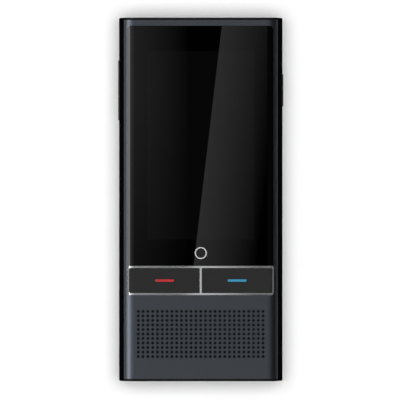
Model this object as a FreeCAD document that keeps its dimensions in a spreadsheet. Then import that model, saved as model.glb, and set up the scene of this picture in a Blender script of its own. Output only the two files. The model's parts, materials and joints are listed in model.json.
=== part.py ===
import FreeCAD, Part
import math
import os
import re

import Sketcher

# Handheld translator, lying on its back: +X to the right of the screen, +Y to its top end,
# +Z out of the screen. The origin is in the middle of the back, and lengths are millimetres.

sizes = {
    # Body
    "body_width": 56.0,
    "body_length": 124.4,
    "body_depth": 12.6,
    "shoulder_width": 5.2,          # from the flat front out to the widest line of the side
    "shoulder_radius": 4.3,         # first bend beside the flat front and back
    "seam_depth": 1.75,             # how far each shell reaches in from the front or the back
    "cap_thickness": 0.55,          # black end cap that shows past the shells
    "cap_chamfer": 0.4,
    "end_chamfer": 0.25,            # bright edge at the ends of both shells
    "fit_gap": 0.05,
    "overcut": 1.0,                 # cuts run this far past the face that they open
    # Frame between the shells
    "rail_thickness": 3.2,          # widest line of the side to the inside of its rail
    "end_wall": 2.25,
    "chassis_drop": 3.6,            # front of the body to the chassis plate
    "chassis_thickness": 0.8,
    "lip_height": 0.9,
    "lip_thickness": 0.7,
    "lip_gap": 0.2,
    "tenon_inset": 5.0,             # side of the body to the tongue of an end cap
    "tenon_height": 6.6,
    "tenon_depth": 1.0,
    "back_wall": 1.1,
    "back_hollow_inset": 5.5,
    # Glass and display
    "glass_side_margin": 3.05,
    "glass_bottom_margin": 39.5,    # bottom end of the body to the glass
    "glass_margin": 2.8,            # top end of the body to the glass
    "glass_corner": 1.3,
    "glass_lower_corner": 0.2,
    "inlay_depth": 0.95,            # recess that holds the glass and the key bezel
    "adhesive_thickness": 0.1,
    "ledge_width": 1.5,             # step under the rim of the glass
    "display_gap": 0.2,
    "home_ring_diameter": 4.2,
    "home_ring_line": 0.5,
    "home_ring_depth": 0.1,
    "home_ring_rise": 4.35,         # lower edge of the glass to the middle of the ring
    "display_flex_width": 12.0,
    "display_flex_thickness": 0.2,
    "display_flex_left": 20.0,      # left edge of the ribbon from the middle
    "display_flex_rise": 1.2,       # chassis plate to the end of the ribbon on the display
    # Key bezel and the two talk keys
    "bezel_length": 9.9,
    "bezel_gap": 0.1,
    "bezel_line": 0.65,
    "bezel_side": 0.45,
    "bezel_bar": 0.7,
    "bezel_corner": 0.8,
    "key_gap": 0.08,
    "key_corner": 0.35,
    "key_flange_reach": 0.8,
    "key_flange_thickness": 0.6,
    "light_bar_length": 6.4,
    "light_bar_width": 0.85,
    "light_bar_gap": 0.02,
    "key_pad_thickness": 0.25,
    "key_pad_length": 3.0,
    "dome_diameter": 4.0,
    "dome_height": 0.3,
    "dome_corner": 0.8,             # corner cut between two legs of a dome
    "key_board_thickness": 0.6,
    "key_board_length": 12.6,
    "key_board_gap": 0.8,           # display to the key board
    "led_size": 0.8,
    "led_height": 0.25,
    "led_offset": 2.8,
    # Speaker and its drilled grille
    "grille_rise": 16.15,           # bottom end of the body to the middle of the grille
    "grille_wall": 1.0,
    "hole_diameter": 1.0,
    "hole_columns": 27,
    "hole_rows": 11,
    "grille_margin": 6.641,         # side of the body to the middle of the last holes
    "hole_pitch_along": 1.545,
    "grille_hollow_inset": 5.4,
    "grille_hollow_length": 20.8,
    "mesh_thickness": 0.2,
    "gasket_thickness": 0.3,
    "gasket_line": 1.2,
    "speaker_side_gap": 2.6,
    "speaker_length": 17.0,
    "speaker_depth": 3.1,
    "speaker_corner": 2.5,
    "speaker_wall": 0.7,
    "cone_drop": 0.9,
    "cone_thickness": 0.35,
    "surround_line": 2.2,
    "magnet_width": 22.0,
    "magnet_length": 11.0,
    "magnet_depth": 2.6,
    # Side keys
    "side_key_inset": 24.8,         # top end of the body to the middle of both side keys
    "side_key_drop": 1.9,           # chassis plate to the middle of both side keys
    "side_key_height": 3.0,
    "side_key_corner": 0.9,
    "side_key_proud": 0.3,
    "side_key_gap": 0.15,
    "side_flange_gap": 0.3,         # rail to the flange that keeps a side key in
    "side_flange_thickness": 0.6,
    "side_flange_rise": 0.3,
    "side_flange_reach": 0.9,
    "side_nub_width": 1.6,
    "side_nub_length": 0.45,
    "side_dome_diameter": 2.8,
    "side_dome_height": 0.3,
    "side_flex_thickness": 0.2,
    "side_rib_thickness": 0.8,
    "volume_length": 20.5,
    "volume_dome_offset": 6.5,
    "power_length": 11.0,
    # Boards
    "board_thickness": 0.8,
    "main_board_gap": 3.4,          # rail to the main board
    "main_board_length": 30.0,
    "board_margin": 1.4,            # inside of the end wall to the main board
    "main_board_drop": 1.2,         # chassis plate to the main board
    "sub_board_gap": 2.3,
    "sub_board_length": 22.0,
    "sub_board_margin": 0.3,
    "screw_diameter": 1.0,
    "screw_head": 2.0,
    "screw_head_height": 0.5,
    "screw_reach": 0.9,
    "boss_diameter": 2.8,
    "boss_side_inset": 1.8,
    "boss_inset": 3.0,
    "post_width": 5.6,
    "post_inset": 1.8,              # edge of the sub board to its screws
    "post_length": 6.0,
    "post_height": 1.5,
    "can_height": 1.5,
    "can_wall": 0.2,
    "processor_can_right": 11.1,
    "processor_can_rise": 11.1,     # near edge of the main board to its middle
    "processor_can_width": 10.7,
    "processor_can_length": 11.7,
    "radio_can_left": 11.1,
    "radio_can_rise": 8.7,
    "radio_can_width": 6.8,
    "radio_can_length": 6.0,
    "chip_height": 1.0,
    "chip_margin": 1.4,             # outside of a can to its chip
    "connector_width": 10.0,
    "connector_length": 3.0,
    "connector_height": 1.2,
    "ribbon_thickness": 0.2,
    "ribbon_height": 2.3,
    "ribbon_gap": 0.1,
    # Battery
    "battery_side_gap": 3.6,        # rail to the battery
    "battery_rise": 10.4,           # near edge of the key board to the battery
    "battery_thickness": 5.6,
    "battery_edge": 1.2,
    "battery_gap": 2.0,             # battery to the main board
    "adhesive_strip_width": 12.0,
    "adhesive_strip_gap": 3.0,      # middle of the body to each strip
    "lead_width": 7.0,
    # Camera and lamp in the back
    "camera_side_inset": 14.0,      # side of the body to the middle of the camera
    "camera_end_inset": 12.2,       # top end of the body to the middle of the camera
    "camera_ring_diameter": 8.0,
    "camera_ring_line": 0.8,
    "camera_window_thickness": 0.7,
    "camera_window_drop": 0.3,
    "camera_body": 8.5,
    "camera_barrel_diameter": 5.6,
    "camera_barrel_length": 0.7,
    "lamp_left": 4.0,
    "lamp_diameter": 2.8,
    "lamp_body": 2.2,
    "lamp_height": 0.7,
    # Socket, microphones and antennas
    "usb_width": 8.94,
    "usb_height": 3.16,
    "usb_length": 7.3,
    "usb_wall": 0.25,
    "usb_inset": 0.3,               # end of the body to the mouth of the socket
    "usb_slot_gap": 0.15,
    "usb_tongue_width": 6.6,
    "usb_tongue_thickness": 0.7,
    "usb_tongue_length": 4.6,
    "usb_tongue_inset": 1.2,
    "sound_hole": 0.9,
    "microphone_width": 3.4,
    "microphone_length": 2.6,
    "microphone_height": 1.0,
    "microphone_gap": 0.1,
    "top_microphone_left": 3.0,
    "bottom_microphone_left": 14.0,
    "antenna_width": 12.0,
    "antenna_drop": 0.1,            # chassis plate to the antennas
    "antenna_height": 3.6,
    "antenna_thickness": 0.2,
    "antenna_offset": 14.0,
    # Tray for the network card
    "tray_side_inset": 16.0,        # side of the body to the middle of the tray
    "tray_width": 10.4,
    "tray_length": 16.0,
    "tray_thickness": 0.7,
    "tray_gap": 0.15,
    "tray_rise": 0.55,              # main board to the middle of the tray
    "tray_face_width": 12.2,
    "tray_face_height": 2.0,
    "tray_face_thickness": 1.05,
    "card_width": 8.9,
    "card_length": 12.4,
    "card_depth": 0.5,
    "card_margin": 2.4,
    "cage_wall": 0.15,
}

# Places worked out from the sizes
half_width = "(body_width / 2)"
half_length = "(body_length / 2)"
half_depth = "(body_depth / 2)"
flat_edge = f"({half_width} - shoulder_width)"
shoulder_drop = f"({half_depth} - shoulder_radius)"
side_radius = (
    f"((shoulder_width ^ 2 + {shoulder_drop} ^ 2 - shoulder_radius ^ 2)"
    " / (2 * (shoulder_width - shoulder_radius)))"
)
side_centre = f"({half_width} - {side_radius})"
shell_end = f"({half_length} - cap_thickness)"
form_end = f"({half_length} + overcut)"
front_seam = "(body_depth - seam_depth)"
inlay_floor = "(body_depth - inlay_depth)"
glass_back = f"({inlay_floor} + adhesive_thickness)"
rail_face = f"({half_width} - rail_thickness)"
wall_face = f"({shell_end} - end_wall)"
chassis_top = "(body_depth - chassis_drop)"
chassis_back = f"({chassis_top} - chassis_thickness)"
tenon_width = "(body_width - 2 * tenon_inset)"
back_hollow_edge = f"({half_width} - back_hollow_inset)"

glass_edge = f"({half_width} - glass_side_margin)"
glass_top = f"({half_length} - glass_margin)"
glass_bottom = f"(glass_bottom_margin - {half_length})"
window_edge = f"({glass_edge} - ledge_width)"
window_top = f"({glass_top} - ledge_width)"
window_bottom = f"({glass_bottom} + ledge_width)"
display_edge = f"({window_edge} - display_gap)"
display_top = f"({window_top} - display_gap)"
display_bottom = f"({window_bottom} + display_gap)"

bezel_top = f"({glass_bottom} - bezel_gap)"
bezel_bottom = f"({bezel_top} - bezel_length)"
key_top = f"({bezel_top} - bezel_line)"
key_bottom = f"({bezel_bottom} + bezel_line)"
key_outer = f"({glass_edge} - bezel_side)"
key_inner = "(bezel_bar / 2)"
key_middle_along = f"(({key_top} + {key_bottom}) / 2)"
key_middle_across = f"(({key_outer} + {key_inner}) / 2)"
key_board_top = f"({chassis_top} + key_board_thickness)"
dome_top = f"({key_board_top} + dome_height)"
flange_back = f"({dome_top} + key_pad_thickness)"
flange_front = f"({flange_back} + key_flange_thickness)"
key_board_far = f"({display_bottom} - key_board_gap)"
key_board_near = f"({key_board_far} - key_board_length)"

grille_along = f"(grille_rise - {half_length})"
hole_pitch_across = "((body_width - 2 * grille_margin) / (hole_columns - 1))"
grille_hollow_edge = f"({half_width} - grille_hollow_inset)"
speaker_width = f"(2 * ({grille_hollow_edge} - speaker_side_gap))"
mesh_front = "(body_depth - grille_wall)"
mesh_back = f"({mesh_front} - mesh_thickness)"
speaker_front = f"({mesh_back} - gasket_thickness)"
speaker_back = f"({speaker_front} - speaker_depth)"

side_key_along = f"({half_length} - side_key_inset)"
side_key_level = f"({chassis_back} - side_key_drop)"
side_flange_outer = f"({rail_face} + fit_gap - side_flange_gap)"
side_flange_inner = f"({side_flange_outer} - side_flange_thickness)"
side_nub_tip = f"({side_flange_inner} - side_nub_length)"
side_dome_base = f"({side_nub_tip} - fit_gap - side_dome_height)"
side_rib_outer = f"({side_dome_base} - side_flex_thickness)"
side_rib_inner = f"({side_rib_outer} - side_rib_thickness)"

main_board_top = f"({chassis_back} - main_board_drop)"
main_board_back = f"({main_board_top} - board_thickness)"
main_board_far = f"({wall_face} - board_margin)"
main_board_near = f"({main_board_far} - main_board_length)"
main_board_edge = f"({rail_face} - main_board_gap)"
sub_board_top = f"({half_depth} - usb_height / 2)"
sub_board_back = f"({sub_board_top} - board_thickness)"
sub_board_near = f"(sub_board_margin - {wall_face})"
sub_board_far = f"({sub_board_near} + sub_board_length)"
sub_board_edge = f"({rail_face} - sub_board_gap)"
post_along = f"(({sub_board_near} + {sub_board_far}) / 2)"
post_across = f"({sub_board_edge} - post_inset)"
battery_far = f"({main_board_near} - battery_gap)"
battery_near = f"({key_board_near} + battery_rise)"
battery_side = f"({rail_face} - battery_side_gap)"
battery_front = f"({chassis_back} - adhesive_thickness)"
battery_back = f"({battery_front} - battery_thickness)"

camera_across = f"(camera_side_inset - {half_width})"
camera_along = f"({half_length} - camera_end_inset)"
tray_across = f"({half_width} - tray_side_inset)"
tray_level = f"({main_board_top} + tray_rise)"
tray_outer = half_length
tray_inner = f"({half_length} - tray_face_thickness)"
tray_end = f"({tray_inner} - tray_length)"
top_microphone_level = f"({main_board_top} + microphone_height / 2)"
bottom_microphone_level = f"({sub_board_top} + microphone_height / 2)"

document = FreeCAD.newDocument("HandheldTranslator")
sheet = document.addObject("Spreadsheet::Sheet", "Sizes")
for row, (name, size) in enumerate(sizes.items(), start=1):
    sheet.set(f"A{row}", name)
    sheet.set(f"B{row}", str(size))
    sheet.setAlias(f"B{row}", name)
document.recompute()

nodes = []


def formula(text):
    """The text with each size's name turned into its cell of the sheet."""
    return re.sub(r"[a-z_]\w*", lambda word: f"Sizes.{word[0]}" if word[0] in sizes else word[0], text)


def measure(text):
    """The value of a formula, in millimetres."""
    return float(sheet.evalExpression(formula(text)))


def bind(item, setting, text):
    item.setExpression(setting, formula(text))


# Shapes for sketches. Each is a function that draws itself into a sketch.

def outline(points):
    """A closed line through (x, y, radius) points; a radius makes the next stretch an arc."""
    def draw(sketch):
        first = sketch.GeometryCount
        places = [FreeCAD.Vector(measure(x), measure(y), 0) for x, y, _ in points]
        for index, (_, _, radius) in enumerate(points):
            start = places[index]
            end = places[(index + 1) % len(points)]
            if radius is None:
                sketch.addGeometry(Part.LineSegment(start, end), False)
            else:
                sketch.addGeometry(Part.Arc(start, bulge(start, end, measure(radius)), end), False)
        for index in range(len(points)):
            following = (index + 1) % len(points)
            joint = Sketcher.Constraint("Coincident", first + index, 2, first + following, 1)
            sketch.addConstraint(joint)
        for index, (x, y, radius) in enumerate(points):
            dimension(sketch, x, "DistanceX", -1, 1, first + index, 1)
            dimension(sketch, y, "DistanceY", -1, 1, first + index, 1)
            if radius is not None:
                dimension(sketch, radius, "Radius", first + index)
    return draw


def bulge(start, end, radius):
    """The middle of an arc that bends out to the right of the way from start to end."""
    chord = end - start
    outward = FreeCAD.Vector(chord.y, -chord.x, 0).normalize()
    rise = radius - math.sqrt(max(radius ** 2 - (chord.Length / 2) ** 2, 0))
    return (start + end) * 0.5 + outward * rise


def dimension(sketch, text, *parts):
    index = sketch.addConstraint(Sketcher.Constraint(*parts, measure(text)))
    bind(sketch, f"Constraints[{index}]", text)


def rectangle(left, right, low, high, corner=None, upper_corner=None):
    """A rectangle, with rounded corners if a radius is given."""
    if corner is None:
        return outline([(left, low, None), (right, low, None), (right, high, None), (left, high, None)])
    upper = upper_corner or corner
    return outline([
        (f"{left} + {corner}", low, None),
        (f"{right} - {corner}", low, corner),
        (right, f"{low} + {corner}", None),
        (right, f"{high} - {upper}", upper),
        (f"{right} - {upper}", high, None),
        (f"{left} + {upper}", high, upper),
        (left, f"{high} - {upper}", None),
        (left, f"{low} + {corner}", corner),
    ])


def centred(x, y, width, height, corner=None):
    """A rectangle around a point."""
    return rectangle(f"{x} - {width} / 2", f"{x} + {width} / 2",
                     f"{y} - {height} / 2", f"{y} + {height} / 2", corner)


def circle(x, y, diameter):
    def draw(sketch):
        centre = FreeCAD.Vector(measure(x), measure(y), 0)
        upward = FreeCAD.Vector(0, 0, 1)
        index = sketch.addGeometry(Part.Circle(centre, upward, measure(diameter) / 2), False)
        dimension(sketch, x, "DistanceX", -1, 1, index, 3)
        dimension(sketch, y, "DistanceY", -1, 1, index, 3)
        dimension(sketch, diameter, "Diameter", index)
    return draw


# A hexagon with its corners this much further out than a circle has the circle's area.
equal_area = math.sqrt(2 * math.pi / (3 * math.sqrt(3)))


def hexagon(x, y, diameter):
    """A small hole or screw of this diameter, drawn with six sides."""
    corners = []
    for step in range(6):
        across = equal_area / 2 * math.cos(step * math.pi / 3)
        along = equal_area / 2 * math.sin(step * math.pi / 3)
        corners.append((f"{x} + {diameter} * {across:.6f}", f"{y} + {diameter} * {along:.6f}", None))
    return outline(corners)


def dome_sheet(x, y, width):
    """A four-legged snap dome: a square sheet whose corners, between its legs, are cut off."""
    reach = f"{width} / 2"
    short = f"({width} / 2 - dome_corner)"
    return outline([
        (f"{x} - {short}", f"{y} - {reach}", None),
        (f"{x} + {short}", f"{y} - {reach}", None),
        (f"{x} + {reach}", f"{y} - {short}", None),
        (f"{x} + {reach}", f"{y} + {short}", None),
        (f"{x} + {short}", f"{y} + {reach}", None),
        (f"{x} - {short}", f"{y} + {reach}", None),
        (f"{x} - {reach}", f"{y} + {short}", None),
        (f"{x} - {reach}", f"{y} - {short}", None),
    ])


def section(inset="0"):
    """The body's cross-section: flat front and back, shoulder arcs and one long arc on each side."""
    edge = f"({side_radius} - {inset})"
    bend = f"(shoulder_radius - {inset})"
    slope = f"({side_radius} - shoulder_radius)"
    turn_across = f"({side_centre} + {edge} * ({side_radius} - shoulder_width) / {slope})"
    turn_rise = f"({edge} * {shoulder_drop} / {slope})"
    upper = f"({half_depth} + {turn_rise})"
    lower = f"({half_depth} - {turn_rise})"
    back = inset
    front = f"(body_depth - {inset})"
    return outline([
        (f"-{flat_edge}", back, None),
        (flat_edge, back, bend),
        (turn_across, lower, edge),
        (turn_across, upper, bend),
        (flat_edge, front, None),
        (f"-{flat_edge}", front, bend),
        (f"-{turn_across}", upper, edge),
        (f"-{turn_across}", lower, bend),
    ])


# Solids

def new_body(label):
    body = document.addObject("PartDesign::Body", label)
    body.Label = label
    return body


def new_sketch(body, plane, level, shapes):
    """A sketch at a level along the plane's axis; XY, XZ and YZ use the model's own coordinates."""
    sketch = body.newObject("Sketcher::SketchObject", f"{body.Name}_sketch")
    origin_plane = next(item for item in body.Origin.OriginFeatures if item.Role == f"{plane}_Plane")
    sketch.AttachmentSupport = (origin_plane, [""])
    sketch.MapMode = "FlatFace"
    away = f"-({level})" if plane == "XZ" else level
    bind(sketch, "AttachmentOffset.Base.z", away)
    for draw in shapes:
        draw(sketch)
    return sketch


def feature(kind, body, plane, low, high, shapes):
    sketch = new_sketch(body, plane, f"(({low}) + ({high})) / 2", shapes)
    result = body.newObject(f"PartDesign::{kind}", f"{body.Name}_{kind.lower()}")
    result.Profile = sketch
    result.Midplane = True
    result.Refine = False
    bind(result, "Length", f"({high}) - ({low})")
    body.Tip = result
    return result


def add(body, plane, low, high, *shapes):
    """Adds the shapes to the body between two levels along the plane's axis."""
    return feature("Pad", body, plane, low, high, shapes)


def remove(body, plane, low, high, *shapes):
    """Cuts the shapes out of the body between two levels along the plane's axis."""
    return feature("Pocket", body, plane, low, high, shapes)


def slice_of_body(body, low=None, high=None):
    """The crowned form between both end caps, without what lies below or above the given levels."""
    add(body, "XZ", f"-{shell_end}", shell_end, section())
    left, right = f"(-{half_width} - overcut)", f"({half_width} + overcut)"
    if low:
        remove(body, "XZ", f"-{form_end}", form_end, rectangle(left, right, "-overcut", low))
    if high:
        remove(body, "XZ", f"-{form_end}", form_end, rectangle(left, right, high, "body_depth + overcut"))


def break_edges(body, chamfer, test):
    """Chamfers the edges of the body that pass the test."""
    document.recompute()
    base = body.Tip
    chosen = [f"Edge{index}" for index, edge in enumerate(base.Shape.Edges, start=1) if test(edge)]
    result = body.newObject("PartDesign::Chamfer", f"{body.Name}_chamfer")
    result.Base = (base, chosen)
    bind(result, "Size", chamfer)
    body.Tip = result


def prism(label, plane, low, high, *shapes):
    """A body of one pad."""
    body = new_body(label)
    add(body, plane, low, high, *shapes)
    return body


def block(label, left, right, near, far, low, high):
    """A plain box between pairs of planes across X, Y and Z."""
    box = document.addObject("Part::Box", label)
    box.Label = label
    for setting, start, end in (("Length", left, right), ("Width", near, far), ("Height", low, high)):
        bind(box, setting, f"({end}) - ({start})")
    for axis, start in zip("xyz", (left, near, low)):
        bind(box, f"Placement.Base.{axis}", start)
    return box


def disc(label, x, y, diameter, low, high):
    """An upright cylinder between two levels."""
    solid = document.addObject("Part::Cylinder", label)
    solid.Label = label
    bind(solid, "Radius", f"{diameter} / 2")
    bind(solid, "Height", f"({high}) - ({low})")
    for name, place in zip("xyz", (x, y, low)):
        bind(solid, f"Placement.Base.{name}", place)
    return solid


def crowned(label, body, form):
    """The part of a body that lies inside the body's outer form."""
    result = document.addObject("Part::Common", label)
    result.Label = label
    result.Base = body
    result.Tool = form
    return result


def group(label, members):
    """Several like solids in one node."""
    result = document.addObject("Part::Compound", label)
    result.Label = label
    result.Links = members
    return result


def keep(*items):
    nodes.extend(items)


def mirrored(text, side):
    """A place across the body, on its right side (1) or its left side (-1)."""
    return text if side == 1 else f"-({text})"


def span(inner, outer, side):
    """Both places in rising order, on the right side or the left side."""
    return (inner, outer) if side == 1 else (f"-({outer})", f"-({inner})")


# Outer forms that give the crowned pieces their front

body_form = prism("body_form", "XZ", f"-{form_end}", form_end, section())
side_key_form = prism("side_key_form", "XZ", f"-{form_end}", form_end, section("(-side_key_proud)"))


def key_opening(side, gap):
    """The opening of one talk key in the bezel or in the step below it."""
    left, right = span(key_inner, key_outer, side)
    return rectangle(f"{left} - {gap}", f"{right} + {gap}", f"{key_bottom} - {gap}", f"{key_top} + {gap}",
                     "key_corner")


# The holes are drawn square, which keeps their many faces few. This side gives the round hole's area.
hole_side = f"(hole_diameter * {math.sqrt(math.pi) / 2:.6f})"


def front_housing():
    """Front shell: recess for glass and bezel, display window, key openings and the drilled grille."""
    housing = new_body("front_housing")
    slice_of_body(housing, low=front_seam)
    lip_outer = f"({rail_face} - lip_gap)"
    lip_inner = f"({lip_outer} - lip_thickness)"
    for side in (1, -1):
        left, right = span(lip_inner, lip_outer, side)
        beside_display = rectangle(left, right, display_bottom, display_top)
        add(housing, "XY", f"{front_seam} - lip_height", front_seam, beside_display)
    break_edges(housing, "end_chamfer", lambda edge: on_shell_end(edge) and rises_from(edge, front_seam))
    recess = rectangle(f"-{glass_edge} - fit_gap", f"{glass_edge} + fit_gap", f"{bezel_bottom} - fit_gap",
                       f"{glass_top} + fit_gap", "bezel_corner", "glass_corner")
    remove(housing, "XY", inlay_floor, "body_depth + overcut", recess)
    window = rectangle(f"-{window_edge}", window_edge, window_bottom, window_top)
    remove(housing, "XY", f"{front_seam} - overcut", f"{inlay_floor} + overcut / 2", window,
           key_opening(1, "fit_gap"), key_opening(-1, "fit_gap"))
    hollow = rectangle(f"-{grille_hollow_edge}", grille_hollow_edge,
                       f"{grille_along} - grille_hollow_length / 2",
                       f"{grille_along} + grille_hollow_length / 2")
    remove(housing, "XY", f"{front_seam} - overcut", mesh_front, hollow)
    first_across = f"(grille_margin - {half_width})"
    first_along = f"({grille_along} - (hole_rows - 1) / 2 * hole_pitch_along)"
    hole = remove(housing, "XY", f"{front_seam} - overcut", "body_depth + overcut",
                  centred(first_across, first_along, hole_side, hole_side))
    pattern = housing.newObject("PartDesign::LinearPattern", "grille_pattern")
    pattern.Originals = [hole]
    axes = {item.Role: item for item in housing.Origin.OriginFeatures}
    pattern.Direction = (axes["X_Axis"], [""])
    pattern.Direction2 = (axes["Y_Axis"], [""])
    pattern.Mode = "Spacing"
    pattern.Mode2 = "Spacing"
    bind(pattern, "Offset", hole_pitch_across)
    bind(pattern, "Occurrences", "hole_columns")
    bind(pattern, "Offset2", "hole_pitch_along")
    bind(pattern, "Occurrences2", "hole_rows")
    pattern.Refine = False
    housing.Tip = pattern
    keep(housing)


def at_end(edge, place):
    """Whether an edge lies flat in the plane across either end at this place."""
    box = edge.BoundBox
    return box.YLength < 0.001 and abs(abs(box.Center.y) - measure(place)) < 0.001


def on_shell_end(edge):
    return at_end(edge, shell_end)


def rises_from(edge, seam):
    """Whether an edge leaves the plane of the seam, so that it shows on the closed body."""
    box = edge.BoundBox
    level = measure(seam)
    return max(abs(box.ZMax - level), abs(box.ZMin - level)) > 0.001


def rear_cover():
    """Back shell: hollow inside, lips that locate it between the rails, camera and lamp holes."""
    cover = new_body("rear_cover")
    slice_of_body(cover, high="seam_depth")
    lip_outer = f"({rail_face} - lip_gap)"
    lip_inner = f"({lip_outer} - lip_thickness)"
    for side in (1, -1):
        left, right = span(lip_inner, lip_outer, side)
        add(cover, "XY", "seam_depth", "seam_depth + lip_height",
            rectangle(left, right, f"{sub_board_near} + lip_gap", f"{wall_face} - lip_gap"))
    break_edges(cover, "end_chamfer", lambda edge: on_shell_end(edge) and rises_from(edge, "seam_depth"))
    hollow = rectangle(f"-{back_hollow_edge}", back_hollow_edge, f"-{wall_face}", wall_face)
    remove(cover, "XY", "back_wall", "seam_depth + overcut", hollow)
    remove(cover, "XY", "-overcut", "seam_depth + overcut",
           circle(camera_across, camera_along, "(camera_ring_diameter + 2 * fit_gap)"),
           circle("-lamp_left", camera_along, "(lamp_diameter + 2 * fit_gap)"))
    keep(cover)


def mid_frame():
    """Black frame between the shells: side rails, end walls and the chassis plate across them."""
    frame = new_body("mid_frame")
    slice_of_body(frame, "seam_depth", front_seam)
    chassis_end = f"({key_board_near} - fit_gap)"
    remove(frame, "XY", chassis_top, f"{front_seam} + overcut",
           rectangle(f"-{rail_face}", rail_face, f"-{wall_face}", wall_face))
    remove(frame, "XY", "seam_depth - overcut", chassis_back,
           rectangle(f"-{rail_face}", rail_face, chassis_end, wall_face))
    remove(frame, "XY", "seam_depth - overcut", f"{front_seam} + overcut",
           rectangle(f"-{rail_face}", rail_face, f"-{wall_face}", chassis_end))
    for side in (1, -1):
        left, right = span(f"{rail_face} - post_width", f"{rail_face} + fit_gap", side)
        post = rectangle(left, right, f"{post_along} - post_length / 2", f"{post_along} + post_length / 2")
        add(frame, "XY", sub_board_top, f"{sub_board_top} + post_height", post)
    rib_back = f"({side_key_level} - side_key_height / 2 - side_flange_rise)"
    for side, length in ((1, "power_length"), (-1, "volume_length")):
        left, right = span(side_rib_inner, side_rib_outer, side)
        reach = f"({length} / 2 + side_flange_reach)"
        rib = rectangle(left, right, f"{side_key_along} - {reach}", f"{side_key_along} + {reach}")
        add(frame, "XY", rib_back, f"{chassis_back} + fit_gap", rib)
    bosses = [hexagon(x, y, "boss_diameter") for x, y in main_screw_places]
    add(frame, "XY", main_board_top, f"{chassis_back} + fit_gap", *bosses)
    for side, length in ((1, "power_length"), (-1, "volume_length")):
        slot_left, slot_right = span(f"{rail_face} - overcut / 4", f"{half_width} + overcut", side)
        remove(frame, "YZ", slot_left, slot_right,
               centred(side_key_along, side_key_level, f"({length} + 2 * side_key_gap)",
                       "(side_key_height + 2 * side_key_gap)", "side_key_corner"))
    for low, high in ((f"{shell_end} - tenon_depth - fit_gap", f"{shell_end} + overcut"),
                      (f"-{shell_end} - overcut", f"-{shell_end} + tenon_depth + fit_gap")):
        remove(frame, "XZ", low, high, centred("0", half_depth, f"({tenon_width} + 2 * fit_gap)",
                                               "(tenon_height + 2 * fit_gap)"))
    remove(frame, "XZ", f"-{shell_end}", f"-{wall_face} + overcut", usb_opening(), bottom_sound_hole())
    tray_slot = centred(tray_across, tray_level, "(tray_width + 2 * tray_gap)",
                        "(tray_thickness + 2 * tray_gap)")
    remove(frame, "XZ", f"{wall_face} - overcut", shell_end, top_sound_hole(), tray_slot)
    ribbon_slot = rectangle("-display_flex_left - display_gap",
                            "display_flex_width - display_flex_left + display_gap",
                            display_top, f"{display_top} + 3 * display_flex_thickness")
    remove(frame, "XY", f"{chassis_back} - overcut / 2", f"{chassis_top} + overcut / 2", ribbon_slot)
    for places, board_top in ((main_screw_places, main_board_top), (sub_screw_places, sub_board_top)):
        holes = [hexagon(x, y, screw_clearance) for x, y in places]
        remove(frame, "XY", f"{board_top} - fit_gap", f"{board_top} + screw_reach + fit_gap", *holes)
    keep(frame)


screw_clearance = "(screw_diameter + 2 * fit_gap)"
main_screw_places = [
    (f"({side} * ({main_board_edge} - boss_side_inset))", along)
    for side in (1, -1)
    for along in (f"({main_board_near} + boss_inset)", f"({main_board_far} - boss_inset)")
]
sub_screw_places = [(f"({side} * {post_across})", post_along) for side in (1, -1)]


def usb_opening():
    return centred("0", half_depth, "(usb_width + 2 * usb_slot_gap)", "(usb_height + 2 * usb_slot_gap)",
                   "(usb_height / 2)")


def bottom_sound_hole():
    return hexagon("(-bottom_microphone_left)", bottom_microphone_level, "sound_hole")


def top_sound_hole():
    return hexagon("(-top_microphone_left)", top_microphone_level, "sound_hole")


def end_caps():
    """Black end caps, each with a tenon that sits in the frame's end wall."""
    for label, side in (("top_end_cap", 1), ("bottom_end_cap", -1)):
        cap = new_body(label)
        add(cap, "XZ", *span(shell_end, half_length, side), section())
        break_edges(cap, "cap_chamfer", lambda edge: at_end(edge, half_length))
        add(cap, "XZ", *span(f"{shell_end} - tenon_depth", shell_end, side),
            centred("0", half_depth, tenon_width, "tenon_height"))
        if side == 1:
            openings = (top_sound_hole(),
                        centred(tray_across, tray_level, "(tray_face_width + 2 * fit_gap)",
                                "(tray_face_height + 2 * fit_gap)"))
        else:
            openings = (bottom_sound_hole(), usb_opening())
        low, high = span(f"{shell_end} - tenon_depth - overcut", f"{half_length} + overcut", side)
        remove(cap, "XZ", low, high, *openings)
        keep(cap)


def glass_and_display():
    """Cover glass crowned with the body, its adhesive, the home ring, the display and its ribbon."""
    glass = prism("glass_blank", "XY", glass_back, "body_depth + overcut",
                  rectangle(f"-{glass_edge}", glass_edge, glass_bottom, glass_top, "glass_lower_corner",
                            "glass_corner"))
    ring_along = f"({glass_bottom} + home_ring_rise)"
    ring_inner = "(home_ring_diameter - 2 * home_ring_line)"
    ring_floor = "(body_depth - home_ring_depth)"
    remove(glass, "XY", ring_floor, "body_depth + 2 * overcut",
           circle("0", ring_along, "home_ring_diameter"), circle("0", ring_along, ring_inner))
    keep(crowned("cover_glass", glass, body_form))
    keep(prism("home_ring", "XY", ring_floor, "body_depth",
               circle("0", ring_along, "(home_ring_diameter - fit_gap)"),
               circle("0", ring_along, f"({ring_inner} + fit_gap)")))
    keep(prism("glass_adhesive", "XY", inlay_floor, glass_back,
               rectangle(f"-{glass_edge} + fit_gap", f"{glass_edge} - fit_gap", f"{glass_bottom} + fit_gap",
                         f"{glass_top} - fit_gap", "glass_lower_corner", "glass_corner"),
               rectangle(f"-{window_edge}", window_edge, window_bottom, window_top)))
    keep(block("display_panel", f"-{display_edge}", display_edge, display_bottom, display_top,
               chassis_top, f"{glass_back} - fit_gap"))
    flex_near = f"({display_top} + display_flex_thickness / 2)"
    keep(block("display_flex", "-display_flex_left", "display_flex_width - display_flex_left",
               flex_near, f"{flex_near} + display_flex_thickness",
               main_board_top, f"{chassis_top} + display_flex_rise"))


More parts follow.
